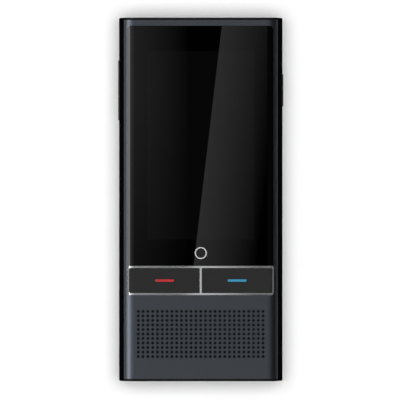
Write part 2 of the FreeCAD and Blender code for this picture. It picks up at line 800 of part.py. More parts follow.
def key_bezel():
    """Bright frame round both talk keys, with a bar between them."""
    bezel = prism("bezel_blank", "XY", inlay_floor, "body_depth + overcut",
                  rectangle(f"-{glass_edge}", glass_edge, bezel_bottom, bezel_top, "bezel_corner",
                            "glass_lower_corner"),
                  key_opening(1, "0"), key_opening(-1, "0"))
    keep(crowned("key_bezel", bezel, body_form))


def talk_key(colour, side):
    """One talk key: cap with a flange below the shell, light bar, silicone pad and snap dome."""
    left, right = span(f"{key_inner} + key_gap", f"{key_outer} - key_gap", side)
    near = f"({key_bottom} + key_gap)"
    far = f"({key_top} - key_gap)"
    across = mirrored(key_middle_across, side)
    cap = new_body(f"{colour}_key_blank")
    add(cap, "XY", flange_front, "body_depth + overcut", rectangle(left, right, near, far, "key_corner"))
    add(cap, "XY", flange_back, flange_front,
        rectangle(left, right, f"{near} - key_flange_reach", f"{far} + key_flange_reach"))
    remove(cap, "XY", f"{flange_back} - overcut", "body_depth + 2 * overcut",
           centred(across, key_middle_along, "(light_bar_length + 2 * light_bar_gap)",
                   "(light_bar_width + 2 * light_bar_gap)"))
    keep(crowned(f"{colour}_key_cap", cap, body_form))
    bar = prism(f"{colour}_light_blank", "XY", flange_back, "body_depth + overcut",
                centred(across, key_middle_along, "light_bar_length", "light_bar_width"))
    keep(crowned(f"{colour}_light_bar", bar, body_form))
    keep(block(f"{colour}_key_pad", f"{across} - dome_diameter / 2", f"{across} + dome_diameter / 2",
               f"{key_middle_along} - key_pad_length / 2", f"{key_middle_along} + key_pad_length / 2",
               dome_top, flange_back))
    keep(prism(f"{colour}_dome", "XY", key_board_top, dome_top,
               dome_sheet(across, key_middle_along, "dome_diameter")))


def key_board():
    """Board under the talk keys, with one light beside each dome."""
    edge = f"({rail_face} - lip_gap)"
    keep(block("key_board", f"-{edge}", edge, key_board_near, key_board_far, chassis_top, key_board_top))
    lights = []
    for side in (1, -1):
        across = f"({mirrored(key_middle_across, side)} + led_offset)"
        lights.append(block(f"key_light_{'right' if side == 1 else 'left'}",
                            f"{across} - led_size / 2", f"{across} + led_size / 2",
                            f"{key_middle_along} - led_size / 2", f"{key_middle_along} + led_size / 2",
                            key_board_top, f"{key_board_top} + led_height"))
    keep(group("key_lights", lights))


def speaker():
    """Dust mesh, gasket, basket, cone and magnet behind the grille."""
    keep(block("speaker_mesh", f"-{grille_hollow_edge} + lip_gap", f"{grille_hollow_edge} - lip_gap",
               f"{grille_along} - grille_hollow_length / 2 + lip_gap",
               f"{grille_along} + grille_hollow_length / 2 - lip_gap", mesh_back, mesh_front))
    keep(prism("speaker_gasket", "XY", speaker_front, mesh_back,
               centred("0", grille_along, speaker_width, "speaker_length"),
               centred("0", grille_along, f"({speaker_width} - 2 * gasket_line)",
                       "(speaker_length - 2 * gasket_line)")))
    basket = prism("speaker_frame", "XY", speaker_back, speaker_front,
                   centred("0", grille_along, speaker_width, "speaker_length", "speaker_corner"))
    inner_width = f"({speaker_width} - 2 * speaker_wall)"
    inner_length = "(speaker_length - 2 * speaker_wall)"
    inner_corner = "(speaker_corner - speaker_wall)"
    remove(basket, "XY", f"{speaker_back} + speaker_wall", f"{speaker_front} + overcut",
           centred("0", grille_along, inner_width, inner_length, inner_corner))
    keep(basket)
    cone_front = f"({speaker_front} - cone_drop)"
    cone = prism("speaker_cone", "XY", f"{cone_front} - cone_thickness", cone_front,
                 centred("0", grille_along, f"({inner_width} - fit_gap)", f"({inner_length} - fit_gap)",
                         inner_corner))
    add(cone, "XY", cone_front, f"{cone_front} + cone_thickness",
        centred("0", grille_along, f"({inner_width} - 2 * surround_line)",
                f"({inner_length} - 2 * surround_line)", inner_corner))
    keep(cone)
    keep(block("speaker_magnet", "-magnet_width / 2", "magnet_width / 2",
               f"{grille_along} - magnet_length / 2", f"{grille_along} + magnet_length / 2",
               f"{speaker_back} - magnet_depth", speaker_back))


def side_key(name, side, length, nub_places):
    """A side key: crowned cap in its slot, flange behind the rail and nubs that reach the domes."""
    body = new_body(f"{name}_blank")
    add(body, "YZ", *span(side_flange_outer, f"{half_width} + overcut", side),
        centred(side_key_along, side_key_level, length, "side_key_height", "side_key_corner"))
    add(body, "YZ", *span(side_flange_inner, side_flange_outer, side),
        centred(side_key_along, side_key_level, f"({length} + 2 * side_flange_reach)",
                "(side_key_height + 2 * side_flange_rise)"))
    for place in nub_places:
        add(body, "YZ", *span(side_nub_tip, side_flange_inner, side),
            centred(f"({side_key_along} + {place})", side_key_level, "side_nub_width", "side_nub_width"))
    keep(crowned(name, body, side_key_form))


def side_switch(name, side, length):
    """Flat switch board of a side key, on the frame's rib."""
    left, right = span(side_rib_outer, side_dome_base, side)
    keep(block(f"{name}_switch_board", left, right,
               f"{side_key_along} - {length} / 2", f"{side_key_along} + {length} / 2",
               f"{side_key_level} - side_key_height / 2", f"{side_key_level} + side_key_height / 2"))


def side_dome(label, side, place):
    low, high = span(side_dome_base, f"{side_dome_base} + side_dome_height", side)
    keep(prism(label, "YZ", low, high,
               dome_sheet(f"({side_key_along} + {place})", side_key_level, "side_dome_diameter")))


def side_keys():
    side_key("volume_rocker", -1, "volume_length", ("volume_dome_offset", "(-volume_dome_offset)", "0"))
    side_switch("volume", -1, "volume_length")
    side_dome("volume_up_dome", -1, "volume_dome_offset")
    side_dome("volume_down_dome", -1, "(-volume_dome_offset)")
    side_key("power_key", 1, "power_length", ("0",))
    side_switch("power", 1, "power_length")
    side_dome("power_dome", 1, "0")


def boards():
    """Main board and sub board with their screws, shield cans, chips, connector and ribbon."""
    keep(prism("main_board", "XY", main_board_back, main_board_top,
               rectangle(f"-{main_board_edge}", main_board_edge, main_board_near, main_board_far),
               *[hexagon(x, y, screw_clearance) for x, y in main_screw_places]))
    keep(prism("sub_board", "XY", sub_board_back, sub_board_top,
               rectangle(f"-{sub_board_edge}", sub_board_edge, sub_board_near, sub_board_far),
               *[hexagon(x, y, screw_clearance) for x, y in sub_screw_places]))
    screws = []
    for places, back, top in ((main_screw_places, main_board_back, main_board_top),
                              (sub_screw_places, sub_board_back, sub_board_top)):
        for x, y in places:
            screw = prism(f"screw_{len(screws)}", "XY", f"{back} - screw_head_height", back,
                          hexagon(x, y, "screw_head"))
            add(screw, "XY", back, f"{top} + screw_reach", hexagon(x, y, "screw_diameter"))
            screws.append(screw)
    keep(group("board_screws", screws))
    can_back = f"({main_board_back} - can_height)"
    cans = []
    chips = []
    for name, x in (("processor", "processor_can_right"), ("radio", "(-radio_can_left)")):
        y = f"({main_board_near} + {name}_can_rise)"
        width = f"{name}_can_width"
        length = f"{name}_can_length"
        can = prism(f"{name}_can", "XY", can_back, main_board_back, centred(x, y, width, length))
        remove(can, "XY", f"{can_back} + can_wall", f"{main_board_back} + overcut",
               centred(x, y, f"({width} - 2 * can_wall)", f"({length} - 2 * can_wall)"))
        cans.append(can)
        chips.append(prism(f"{name}_chip", "XY", f"{main_board_back} - chip_height", main_board_back,
                           centred(x, y, f"({width} - 2 * chip_margin)", f"({length} - 2 * chip_margin)")))
    keep(group("shield_cans", cans))
    keep(group("main_chips", chips))
    connector_near = f"({main_board_near} + ribbon_gap)"
    connector_back = f"({main_board_back} - connector_height)"
    keep(block("battery_connector", "-connector_width / 2", "connector_width / 2", connector_near,
               f"{connector_near} + connector_length", connector_back, main_board_back))
    ribbon_outer = f"({main_board_edge} + ribbon_gap)"
    keep(block("board_ribbon", ribbon_outer, f"{ribbon_outer} + ribbon_thickness",
               f"{sub_board_far} + ribbon_gap", f"{main_board_near} + connector_length",
               f"{sub_board_top} - ribbon_gap", f"{sub_board_top} + ribbon_height - ribbon_gap"))


def battery():
    """Pouch battery stuck to the back of the chassis plate, with its lead to the main board."""
    keep(prism("battery", "XZ", battery_near, battery_far,
               rectangle(f"-{battery_side}", battery_side, battery_back, battery_front, "battery_edge")))
    strips = []
    for side in (1, -1):
        left, right = span("adhesive_strip_gap", "adhesive_strip_gap + adhesive_strip_width", side)
        strips.append(block(f"adhesive_{'right' if side == 1 else 'left'}", left, right,
                            f"{battery_near} + battery_edge", f"{battery_far} - battery_edge",
                            battery_front, chassis_back))
    keep(group("battery_adhesive", strips))
    lead_back = f"({main_board_back} - connector_height / 2)"
    keep(block("battery_lead", "-lead_width / 2", "lead_width / 2", battery_far,
               f"{main_board_near} + ribbon_gap", lead_back, f"{lead_back} + ribbon_thickness"))


def camera():
    """Camera with its ring and window, and the lamp beside it."""
    x = camera_across
    bore = "(camera_ring_diameter - 2 * camera_ring_line)"
    keep(prism("camera_ring", "XY", "0", "seam_depth",
               circle(x, camera_along, "camera_ring_diameter"), circle(x, camera_along, bore)))
    window_front = "(camera_window_drop + camera_window_thickness)"
    keep(disc("camera_window", x, camera_along, f"({bore} - 2 * fit_gap)",
              "camera_window_drop", window_front))
    body_back = "(seam_depth + fit_gap)"
    module = prism("camera_module", "XY", body_back, main_board_back,
                   centred(x, camera_along, "camera_body", "camera_body"))
    add(module, "XY", f"{body_back} - camera_barrel_length", body_back,
        circle(x, camera_along, "camera_barrel_diameter"))
    keep(module)
    keep(disc("lamp_lens", "(-lamp_left)", camera_along, "lamp_diameter", "0", "seam_depth"))
    keep(block("lamp_led", "-lamp_left - lamp_body / 2", "-lamp_left + lamp_body / 2",
               f"{camera_along} - lamp_body / 2", f"{camera_along} + lamp_body / 2",
               f"{main_board_back} - lamp_height", main_board_back))


def socket_and_microphones():
    """Charging socket with its tongue, both microphones and both antennas."""
    mouth = f"(usb_inset - {half_length})"
    rear = f"({mouth} + usb_length)"
    inner_width = "(usb_width - 2 * usb_wall)"
    inner_height = "(usb_height - 2 * usb_wall)"
    keep(prism("usb_shell", "XZ", mouth, rear,
               centred("0", half_depth, "usb_width", "usb_height", "(usb_height / 2 - fit_gap)"),
               centred("0", half_depth, inner_width, inner_height, f"({inner_height} / 2 - fit_gap)")))
    tongue_mouth = f"({mouth} + usb_tongue_inset)"
    tongue_end = f"({tongue_mouth} + usb_tongue_length)"
    tongue = prism("usb_tongue", "XZ", tongue_mouth, tongue_end,
                   centred("0", half_depth, "usb_tongue_width", "usb_tongue_thickness"))
    add(tongue, "XZ", tongue_end, f"{rear} - fit_gap",
        centred("0", half_depth, "usb_tongue_width", f"({inner_height} - 2 * fit_gap)"))
    keep(tongue)
    inset = "(microphone_gap + microphone_length / 2)"
    for label, x, y, board in (
        ("top_microphone", "(-top_microphone_left)", f"({main_board_far} - {inset})", main_board_top),
        ("bottom_microphone", "(-bottom_microphone_left)", f"({sub_board_near} + {inset})", sub_board_top),
    ):
        keep(block(label, f"{x} - microphone_width / 2", f"{x} + microphone_width / 2",
                   f"{y} - microphone_length / 2", f"{y} + microphone_length / 2",
                   board, f"{board} + microphone_height"))
    antenna_front = f"({chassis_back} - antenna_drop)"
    for label, x, low, high in (
        ("top_antenna", "(-antenna_offset)", f"{wall_face} - antenna_thickness", wall_face),
        ("bottom_antenna", "antenna_offset", f"-{wall_face}", f"-{wall_face} + antenna_thickness"),
    ):
        keep(block(label, f"{x} - antenna_width / 2", f"{x} + antenna_width / 2", low, high,
                   f"{antenna_front} - antenna_height", antenna_front))


def card_tray():
    """Network card tray with its face in the top cap, and the cage that it slides in."""
    x = tray_across
    tray = prism("card_tray", "XZ", tray_end, tray_inner,
                 centred(x, tray_level, "tray_width", "tray_thickness"))
    add(tray, "XZ", tray_inner, f"{tray_outer} - fit_gap",
        centred(x, tray_level, "tray_face_width", "tray_face_height"))
    card_far = f"({tray_inner} - card_margin)"
    tray_front = f"({tray_level} + tray_thickness / 2)"
    pocket = rectangle(f"{x} - card_width / 2", f"{x} + card_width / 2",
                       f"{card_far} - card_length", card_far)
    remove(tray, "XY", f"{tray_front} - card_depth", f"{tray_front} + tray_gap", pocket)
    remove(tray, "XZ", f"{tray_inner} - tray_face_thickness", f"{tray_outer} + overcut",
           hexagon(f"({x} + tray_face_width / 2 - tray_gap - sound_hole)", tray_level, "(sound_hole / 2)"))
    keep(tray)
    inner_width = "(tray_width + 2 * tray_gap)"
    cage_end = f"({tray_end} - tray_gap)"
    cage = prism("card_cage", "XZ", f"{cage_end} - cage_wall", f"{main_board_far} - fit_gap",
                 rectangle(f"{x} - {inner_width} / 2 - cage_wall", f"{x} + {inner_width} / 2 + cage_wall",
                           main_board_top, f"{main_board_top} + 2 * tray_rise"))
    remove(cage, "XZ", cage_end, f"{main_board_far} + overcut",
           rectangle(f"{x} - {inner_width} / 2", f"{x} + {inner_width} / 2", f"{main_board_top} + cage_wall",
                     f"{main_board_top} + 2 * tray_rise - cage_wall"))
    keep(cage)


front_housing()
rear_cover()
mid_frame()
end_caps()
glass_and_display()
key_bezel()
talk_key("red", -1)
talk_key("blue", 1)
key_board()
speaker()
side_keys()
boards()
battery()
camera()
socket_and_microphones()
card_tray()
document.recompute()

failed = [item.Label for item in document.Objects if {"Invalid", "Error"} & set(item.State)]
if failed:
    raise SystemExit(f"These objects failed: {', '.join(failed)}")
for node in nodes:
    if node.Shape.isNull() or not node.Shape.isValid():
        raise SystemExit(f"{node.Label} has no valid shape")

os.makedirs("parts", exist_ok=True)
for node in nodes:
    node.Shape.exportStep(f"parts/{node.Label}.step")
    print(f"{node.Label}: {len(node.Shape.Solids)} solid(s), {node.Shape.Volume:.1f} cubic mm")
print(f"{len(nodes)} sub-parts written")
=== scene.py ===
import json
import math
import bmesh
import bpy
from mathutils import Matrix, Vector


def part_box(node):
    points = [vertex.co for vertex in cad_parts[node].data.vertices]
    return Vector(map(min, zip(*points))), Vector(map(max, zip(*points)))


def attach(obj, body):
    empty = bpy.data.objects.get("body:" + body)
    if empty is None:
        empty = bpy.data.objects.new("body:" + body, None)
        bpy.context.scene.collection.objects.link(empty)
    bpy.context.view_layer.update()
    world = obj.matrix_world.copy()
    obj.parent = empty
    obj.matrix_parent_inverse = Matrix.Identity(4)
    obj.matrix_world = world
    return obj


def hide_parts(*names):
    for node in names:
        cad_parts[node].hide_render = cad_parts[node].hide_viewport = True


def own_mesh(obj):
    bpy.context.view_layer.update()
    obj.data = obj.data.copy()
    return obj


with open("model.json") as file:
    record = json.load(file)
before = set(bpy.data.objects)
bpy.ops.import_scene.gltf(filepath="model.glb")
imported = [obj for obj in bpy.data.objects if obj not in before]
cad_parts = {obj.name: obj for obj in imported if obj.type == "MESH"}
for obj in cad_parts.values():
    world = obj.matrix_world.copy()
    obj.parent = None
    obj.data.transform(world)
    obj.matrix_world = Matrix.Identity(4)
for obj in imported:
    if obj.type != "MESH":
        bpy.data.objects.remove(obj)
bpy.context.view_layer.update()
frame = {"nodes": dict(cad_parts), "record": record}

# Handheld translator lying on its back: X to the right of the screen, Y to its top end, Z out of the
# screen. Lengths are in millimetres up to meshObject, which turns them into Blender's metres.

mm = 0.001
print("packed frame loaded")


# Measures that several pieces share

shape = {
    "bodyWidth": 56.0,
    "flatHalf": 22.8,          # half of the flat part of the front and of the back
    "shoulderRadius": 4.3,     # first bend beside the flat part
    "seamDepth": 1.75,         # how far each shell reaches in from the front or the back
    "shellChamfer": 0.25,      # bright edge at the ends of both shells
    "fitGap": 0.05,            # round what sits in the front shell
    "beyond": 1.0,             # cuts run this far past the faces that they open
}

# Straight pieces in an arc of the section, in a corner, and in a whole circle, disc or ring
facets = {"shoulder": 20, "side": 26, "corner": 10, "circle": 64, "disc": 72, "ring": 96}


def box(node):
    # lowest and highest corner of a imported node, in millimetres
    low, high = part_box(node)
    return [value / mm for value in low], [value / mm for value in high]


glassLow, glassHigh = box("cover_glass")
bezelLow, bezelHigh = box("key_bezel")
depth = box("front_housing")[1][2]
shellEnd = box("front_housing")[1][1]
halfLength = box("top_end_cap")[1][1]
middle = depth / 2
inlayFloor = bezelLow[2]
frontSeam = depth - shape["seamDepth"]
beyond = shape["beyond"]
aboveFront = depth + beyond    # top of the cuts from the front and of what the crown trims


# Outlines: lists of points in a plane, counterclockwise

def arc(x, y, radius, start, end, steps):
    points = []
    for step in range(steps + 1):
        angle = math.radians(start + (end - start) * step / steps)
        points.append((x + radius * math.cos(angle), y + radius * math.sin(angle)))
    return points


def circle(x, y, radius, steps=facets["circle"]):
    return arc(x, y, radius, 0, 360, steps)[:-1]


def rectangle(left, right, near, far):
    return [(left, near), (right, near), (right, far), (left, far)]


def roundedBox(left, right, near, far, radius, farRadius=None):
    steps = facets["corner"]
    upper = radius if farRadius is None else farRadius
    return (arc(right - radius, near + radius, radius, -90, 0, steps)
            + arc(right - upper, far - upper, upper, 0, 90, steps)
            + arc(left + upper, far - upper, upper, 90, 180, steps)
            + arc(left + radius, near + radius, radius, 180, 270, steps))


def around(x, y, width, height, radius):
    return roundedBox(x - width / 2, x + width / 2, y - height / 2, y + height / 2, radius)


def outlineOf(low, high, radius, farRadius=None, grow=0.0):
    # round a box between two corners, by their first two places, and grown on all sides
    return roundedBox(low[0] - grow, high[0] + grow, low[1] - grow, high[1] + grow, radius, farRadius)


def bodySection(inset=0.0):
    # the crowned cross-section in (x, z): flat front and back, shoulder arcs, one long arc on each side
    half = shape["bodyWidth"] / 2
    bend = shape["shoulderRadius"]
    across = half - shape["flatHalf"]
    drop = middle - bend
    side = (across ** 2 + drop ** 2 - bend ** 2) / (2 * (across - bend))
    turn = math.degrees(math.atan2(drop, side - across))
    quarter = arc(half - side, middle, side - inset, 0, turn, facets["side"])[:-1]
    quarter += arc(shape["flatHalf"], middle + drop, bend - inset, turn, 90, facets["shoulder"])
    upper = quarter + [(-x, z) for x, z in reversed(quarter)]
    lower = [(x, depth - z) for x, z in reversed(upper)][1:-1]
    return upper + lower


# Solids

def meshObject(name, points, faces):
    mesh = bpy.data.meshes.new(name)
    mesh.from_pydata([(x * mm, y * mm, z * mm) for x, y, z in points], [], faces)
    form = bmesh.new()
    form.from_mesh(mesh)
    bmesh.ops.recalc_face_normals(form, faces=form.faces)
    form.to_mesh(mesh)
    form.free()
    item = bpy.data.objects.new(name, mesh)
    bpy.context.scene.collection.objects.link(item)
    return item


def ringFaces(count, levels, first=0):
    # the two ends and the sides of a solid whose rings all have the same number of points
    last = first + count * (levels - 1)
    faces = [[first + index for index in range(count)][::-1], [last + index for index in range(count)]]
    for level in range(levels - 1):
        base = first + level * count
        for index in range(count):
            after = (index + 1) % count
            faces.append([base + index, base + after, base + count + after, base + count + index])
    return faces


def stack(name, rings):
    points = [point for ring in rings for point in ring]
    return meshObject(name, points, ringFaces(len(rings[0]), len(rings)))


def upright(name, outline, low, high):
    return stack(name, [[(x, y, z) for x, y in outline] for z in (low, high)])


def alongY(name, outline, near, far):
    # an (x, z) outline carried along the body
    return stack(name, [[(x, y, z) for x, z in outline] for y in (near, far)])


def alongX(name, outline, left, right):
    # a (y, z) outline carried across the body
    return stack(name, [[(x, y, z) for y, z in outline] for x in (left, right)])


def turnedDisc(name, x, y, profile):
    # a solid of circles from (radius, height) pairs, closed at both ends
    return stack(name, [[(px, py, z) for px, py in circle(x, y, radius, facets["disc"])]
                        for radius, z in profile])


def turnedRing(name, x, y, profile):
    # a ring from a closed (radius, height) profile
    count = len(profile)
    points = []
    faces = []
    for step in range(facets["ring"]):
        angle = 2 * math.pi * step / facets["ring"]
        points += [(x + radius * math.cos(angle), y + radius * math.sin(angle), z) for radius, z in profile]
        for index in range(count):
            after = (index + 1) % count
            here = step * count
            there = (step + 1) % facets["ring"] * count
            faces.append([here + index, here + after, there + after, there + index])
    return meshObject(name, points, faces)


def bodyForm(name, ends):
    # the crowned body through (place along Y, inset) pairs
    return stack(name, [[(x, y, z) for x, z in bodySection(inset)] for y, inset in ends])


def slab(low, high):
    # all of the body between two levels
    x = shape["bodyWidth"] / 2 + beyond
    y = halfLength + beyond
    return upright("slab", rectangle(-x, x, -y, y), low, high)


def combine(item, tool, operation):
    # joins, cuts or trims a solid with another, which is used up
    modifier = item.modifiers.new("combine", "BOOLEAN")
    modifier.operation = operation
    modifier.solver = "MANIFOLD"
    modifier.object = tool
    shown = item.evaluated_get(bpy.context.evaluated_depsgraph_get())
    mesh = bpy.data.meshes.new_from_object(shown)
    item.modifiers.clear()
    before = item.data
    item.data = mesh
    toolMesh = tool.data
    bpy.data.objects.remove(tool)
    bpy.data.meshes.remove(toolMesh)
    bpy.data.meshes.remove(before)
    mesh.name = item.name
    return item


def cut(item, *tools):
    for tool in tools:
        combine(item, tool, "DIFFERENCE")
    return item


def join(item, *tools):
    for tool in tools:
        combine(item, tool, "UNION")
    return item


def crowned(item, proud=0.0):
    # what lies inside the crowned body, or inside that body grown by how far the item stands proud
    end = halfLength + beyond
    return combine(item, bodyForm("crown", [(-end, -proud), (end, -proud)]), "INTERSECT")


shading = {
    "merge": 0.0005,           # corners nearer than this become one
    "crispFrom": 32,           # degrees between two faces from which their edge is crisp
    "flatFrom": 0.99995,       # a face that looks along an axis, to this cosine, is a flat wall
}


def finish(item, material, slot, body, *nodes, crispFrom=shading["crispFrom"]):
    # smooth shading with crisp edges and flat walls, then material, body and the nodes it stands for; slot
    # is not used
    mesh = item.data
    form = bmesh.new()
    form.from_mesh(mesh)
    bmesh.ops.remove_doubles(form, verts=form.verts, dist=shading["merge"] * mm)
    for face in form.faces:
        face.smooth = max(abs(value) for value in face.normal) < shading["flatFrom"]
    for edge in form.edges:
        edge.smooth = edge.calc_face_angle(math.pi) < math.radians(crispFrom)
    form.to_mesh(mesh)
    form.free()
    mesh.materials.clear()
    mesh.materials.append(material)
    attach(item, body)
    if nodes:
        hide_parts(*nodes)
    return item


# Material tools

def linear(colour):
    # an sRGB hex colour as linear values
    values = [int(colour[index:index + 2], 16) / 255 for index in (1, 3, 5)]
    values = [value / 12.92 if value <= 0.04045 else ((value + 0.055) / 1.055) ** 2.4 for value in values]
    return (*values, 1.0)


def addNode(tree, kind, settings=None, links=None):
    # settings are sockets by name or number, or the node's own options in lower case
    node = tree.nodes.new(kind)
    for key, value in (settings or {}).items():
        if isinstance(key, str) and key.islower():
            setattr(node, key, value)
        else:
            node.inputs[key].default_value = value
    for key, source in (links or {}).items():
        tree.links.new(source, node.inputs[key])
    return node


def newMaterial(name, colour, roughness, metallic=0.0, **sockets):
    # a shader with plain values; the other sockets' names have underscores for spaces
    material = bpy.data.materials.new(name)
    material.use_nodes = True
    tree = material.node_tree
    shader = tree.nodes["Principled BSDF"]
    shader.inputs["Base Color"].default_value = linear(colour)
    shader.inputs["Roughness"].default_value = roughness
    shader.inputs["Metallic"].default_value = metallic
    for key, value in sockets.items():
        shader.inputs[key.replace("_", " ")].default_value = value
    return material, tree, shader


grainLook = {
    "detail": 2.0,
    "depth": 0.1,              # share of the grain's width
    "colourRange": (0.35, 0.65),  # the noise runs from one colour to the other between these
    "roughRange": (0.3, 0.7),  # and from the smoothest place to the roughest between these
    "roughSpread": 0.07,       # share of the roughness that it changes either way
    "bevelSamples": 6,
}


def roundedEdges(tree, radius):
    # the direction of the surface, with its edges rounded by this many millimetres
    return addNode(tree, "ShaderNodeBevel", {"samples": grainLook["bevelSamples"],
                                             "Radius": radius * mm}).outputs["Normal"]


def raised(tree, shader, height, deep, strength, edge=0.0):
    # relief from a height of 0 to 1 that stands this many millimetres deep
    bump = addNode(tree, "ShaderNodeBump", {"Strength": strength, "Distance": deep * mm}, {"Height": height})
    if edge:
        tree.links.new(roundedEdges(tree, edge), bump.inputs["Normal"])
    tree.links.new(bump.outputs["Normal"], shader.inputs["Normal"])


def mixed(tree, share, first, second, low=0.0, high=1.0):
    # a colour between two, by where the share lies between low and high
    spread = addNode(tree, "ShaderNodeMapRange", {"From Min": low, "From Max": high}, {"Value": share})
    return addNode(tree, "ShaderNodeMix", {"data_type": "RGBA", 6: linear(first), 7: linear(second)},
                   {0: spread.outputs["Result"]}).outputs[2]


def grained(name, colour, second, roughness, grain, bump, edge=0.0, metallic=0.0, **sockets):
    # a material with a grain of this many millimetres in its height and its colour, and a little in its
    # roughness
    material, tree, shader = newMaterial(name, colour, roughness, metallic, **sockets)
    place = addNode(tree, "ShaderNodeTexCoord").outputs["Object"]
    share = addNode(tree, "ShaderNodeTexNoise", {"Scale": 1 / (grain * mm), "Detail": grainLook["detail"]},
                    {"Vector": place}).outputs["Fac"]
    raised(tree, shader, share, grain * grainLook["depth"], bump, edge)
    tree.links.new(mixed(tree, share, colour, second, *grainLook["colourRange"]),
                   shader.inputs["Base Color"])
    spread = roughness * grainLook["roughSpread"]
    smoothest, roughest = grainLook["roughRange"]
    rough = addNode(tree, "ShaderNodeMapRange", {"From Min": smoothest, "From Max": roughest,
                                                 "To Min": roughness - spread,
                                                 "To Max": roughness + spread}, {"Value": share})
    tree.links.new(rough.outputs["Result"], shader.inputs["Roughness"])
    return material


def textured(material, level, fadeFrom=0.12, fadeTo=0.32):
    # a moulded texture swallows the glancing reflection that a smooth face would give: the level of gloss
    # fades out as the face turns from the eye
    tree = material.node_tree
    turn = addNode(tree, "ShaderNodeLayerWeight", {"Blend": 0.5})
    share = addNode(tree, "ShaderNodeMapRange", {"From Min": fadeFrom, "From Max": fadeTo,
                                                 "To Min": level, "To Max": 0.0},
                    {"Value": turn.outputs["Facing"]})
    tree.links.new(share.outputs["Result"], tree.nodes["Principled BSDF"].inputs["Specular IOR Level"])


# Materials of what shows

# Anodised aluminium, bead-blasted before dyeing: an even, silky dark grey with a broad soft highlight.
# The beads leave 0.05 mm dents, drawn at 0.25 mm so that they show.
anodised = grained("bead_blasted_anodised_aluminium", "#585d64", "#5b6067", roughness=0.4, grain=0.25,
                   bump=0.08, edge=0.07, metallic=1.0)

# Polycarbonate moulded against a spark-eroded tool: deep black that gives back almost no light.
# The 0.03 mm texture is drawn at 0.2 mm so that it shows.
blackMoulded = grained("moulded_black_polycarbonate", "#050506", "#070708", roughness=0.5, grain=0.2,
                       bump=0.1, edge=0.1, IOR=1.58)
textured(blackMoulded, 0.3)

# ABS sprayed with a soft-touch paint: flat dark grey with hardly any reflection. The paint's matting
# grains of 0.02 mm are drawn at 0.2 mm.
softTouch = grained("soft_touch_painted_abs", "#222222", "#242424", roughness=0.62, grain=0.2, bump=0.12,
                    edge=0.08, Specular_IOR_Level=0.1)

# Polycarbonate moulded in a finer, half-polished tool: black with a soft sheen that sets the side keys
# off from the frame. The 0.02 mm texture is drawn at 0.2 mm.
satinMoulded = grained("satin_moulded_polycarbonate", "#070708", "#09090a", roughness=0.38, grain=0.2,
                       bump=0.06, edge=0.12, IOR=1.58)
textured(satinMoulded, 0.5)

# Die-cast zinc, polished and sprayed with a fine aluminium-flake lacquer: a bright rim that mirrors the
# light above it, as the glass does, and keeps some pale grey of its own where that is dark.
# The lacquer lies in shallow waves of 1.5 mm.
silvered = grained("silver_lacquered_zinc", "#f6f7f8", "#f2f3f4", roughness=0.05, grain=1.5, bump=0.002,
                   edge=0.05, metallic=0.88)

# Screen-printed ink: soft light grey, matt, slightly uneven as a mesh of 0.15 mm leaves it
greyInk = grained("screen_printed_grey_ink", "#b4b4b4", "#acacac", roughness=0.5, grain=0.15, bump=0.05)

# Diffusing polycarbonate, tinted and moulded in a polished tool: one saturated colour under a smooth
# gloss, with flow marks of 0.6 mm
redBar = grained("red_diffusing_polycarbonate", "#b0161c", "#aa141a", roughness=0.3, grain=0.6, bump=0.02,
                 edge=0.05, IOR=1.58, Specular_IOR_Level=0.25)
blueBar = grained("blue_diffusing_polycarbonate", "#2685a8", "#247fa2", roughness=0.3, grain=0.6, bump=0.02,
                  edge=0.05, IOR=1.58, Specular_IOR_Level=0.25)

# Stainless steel of the camera ring and the socket, turned and drawn: clear, slightly blurred
# reflections. The 0.05 mm tool marks are drawn at 0.3 mm.
turnedSteel = grained("turned_stainless_steel", "#b9bbbd", "#aeb0b3", roughness=0.22, grain=0.3, bump=0.04,
                      edge=0.05, metallic=1.0)

# Gold-plated bronze, stamped before plating: warm small glints in the socket, with 0.2 mm unevenness
goldPlate = grained("gold_plated_bronze", "#d9ab4c", "#cf9f40", roughness=0.25, grain=0.2, bump=0.03,
                    metallic=1.0)

displayLook = {
    "halfWidth": 18.15,        # the part of the glass with the display behind it
    "near": -13.6,
    "far": 50.6,
    "blur": 0.25,
    "border": "#010101",       # black print behind the rim of the glass
    "screen": "#060606",       # switched-off display, a trace lighter than the print
    "edge": 0.12,
}


def blackCoverGlass():
    # Aluminosilicate glass, polished and printed black behind its rim: a wet-looking black with clear
    # reflections, and a switched-off display that is just visible as a rectangle
    material, tree, shader = newMaterial("black_printed_cover_glass", displayLook["border"],
                                         roughness=0.004, IOR=1.51)
    place = addNode(tree, "ShaderNodeSeparateXYZ", {},
                    {0: addNode(tree, "ShaderNodeTexCoord").outputs["Object"]})
    halfLong = (displayLook["far"] - displayLook["near"]) / 2
    centre = (displayLook["far"] + displayLook["near"]) / 2
    sides = []
    for axis, mid, half in (("X", 0.0, displayLook["halfWidth"]), ("Y", centre, halfLong)):
        moved = addNode(tree, "ShaderNodeMath", {"operation": "SUBTRACT", 1: mid * mm},
                        {0: place.outputs[axis]})
        away = addNode(tree, "ShaderNodeMath", {"operation": "ABSOLUTE"}, {0: moved.outputs[0]})
        sides.append(addNode(tree, "ShaderNodeMapRange",
                             {"From Min": half * mm, "From Max": (half + displayLook["blur"]) * mm,
                              "To Min": 1.0, "To Max": 0.0}, {"Value": away.outputs[0]}).outputs["Result"])
    inside = addNode(tree, "ShaderNodeMath", {"operation": "MULTIPLY"}, {0: sides[0], 1: sides[1]})
    tree.links.new(mixed(tree, inside.outputs[0], displayLook["border"], displayLook["screen"]),
                   shader.inputs["Base Color"])
    tree.links.new(roundedEdges(tree, displayLook["edge"]), shader.inputs["Normal"])
    return material


coverGlass = blackCoverGlass()


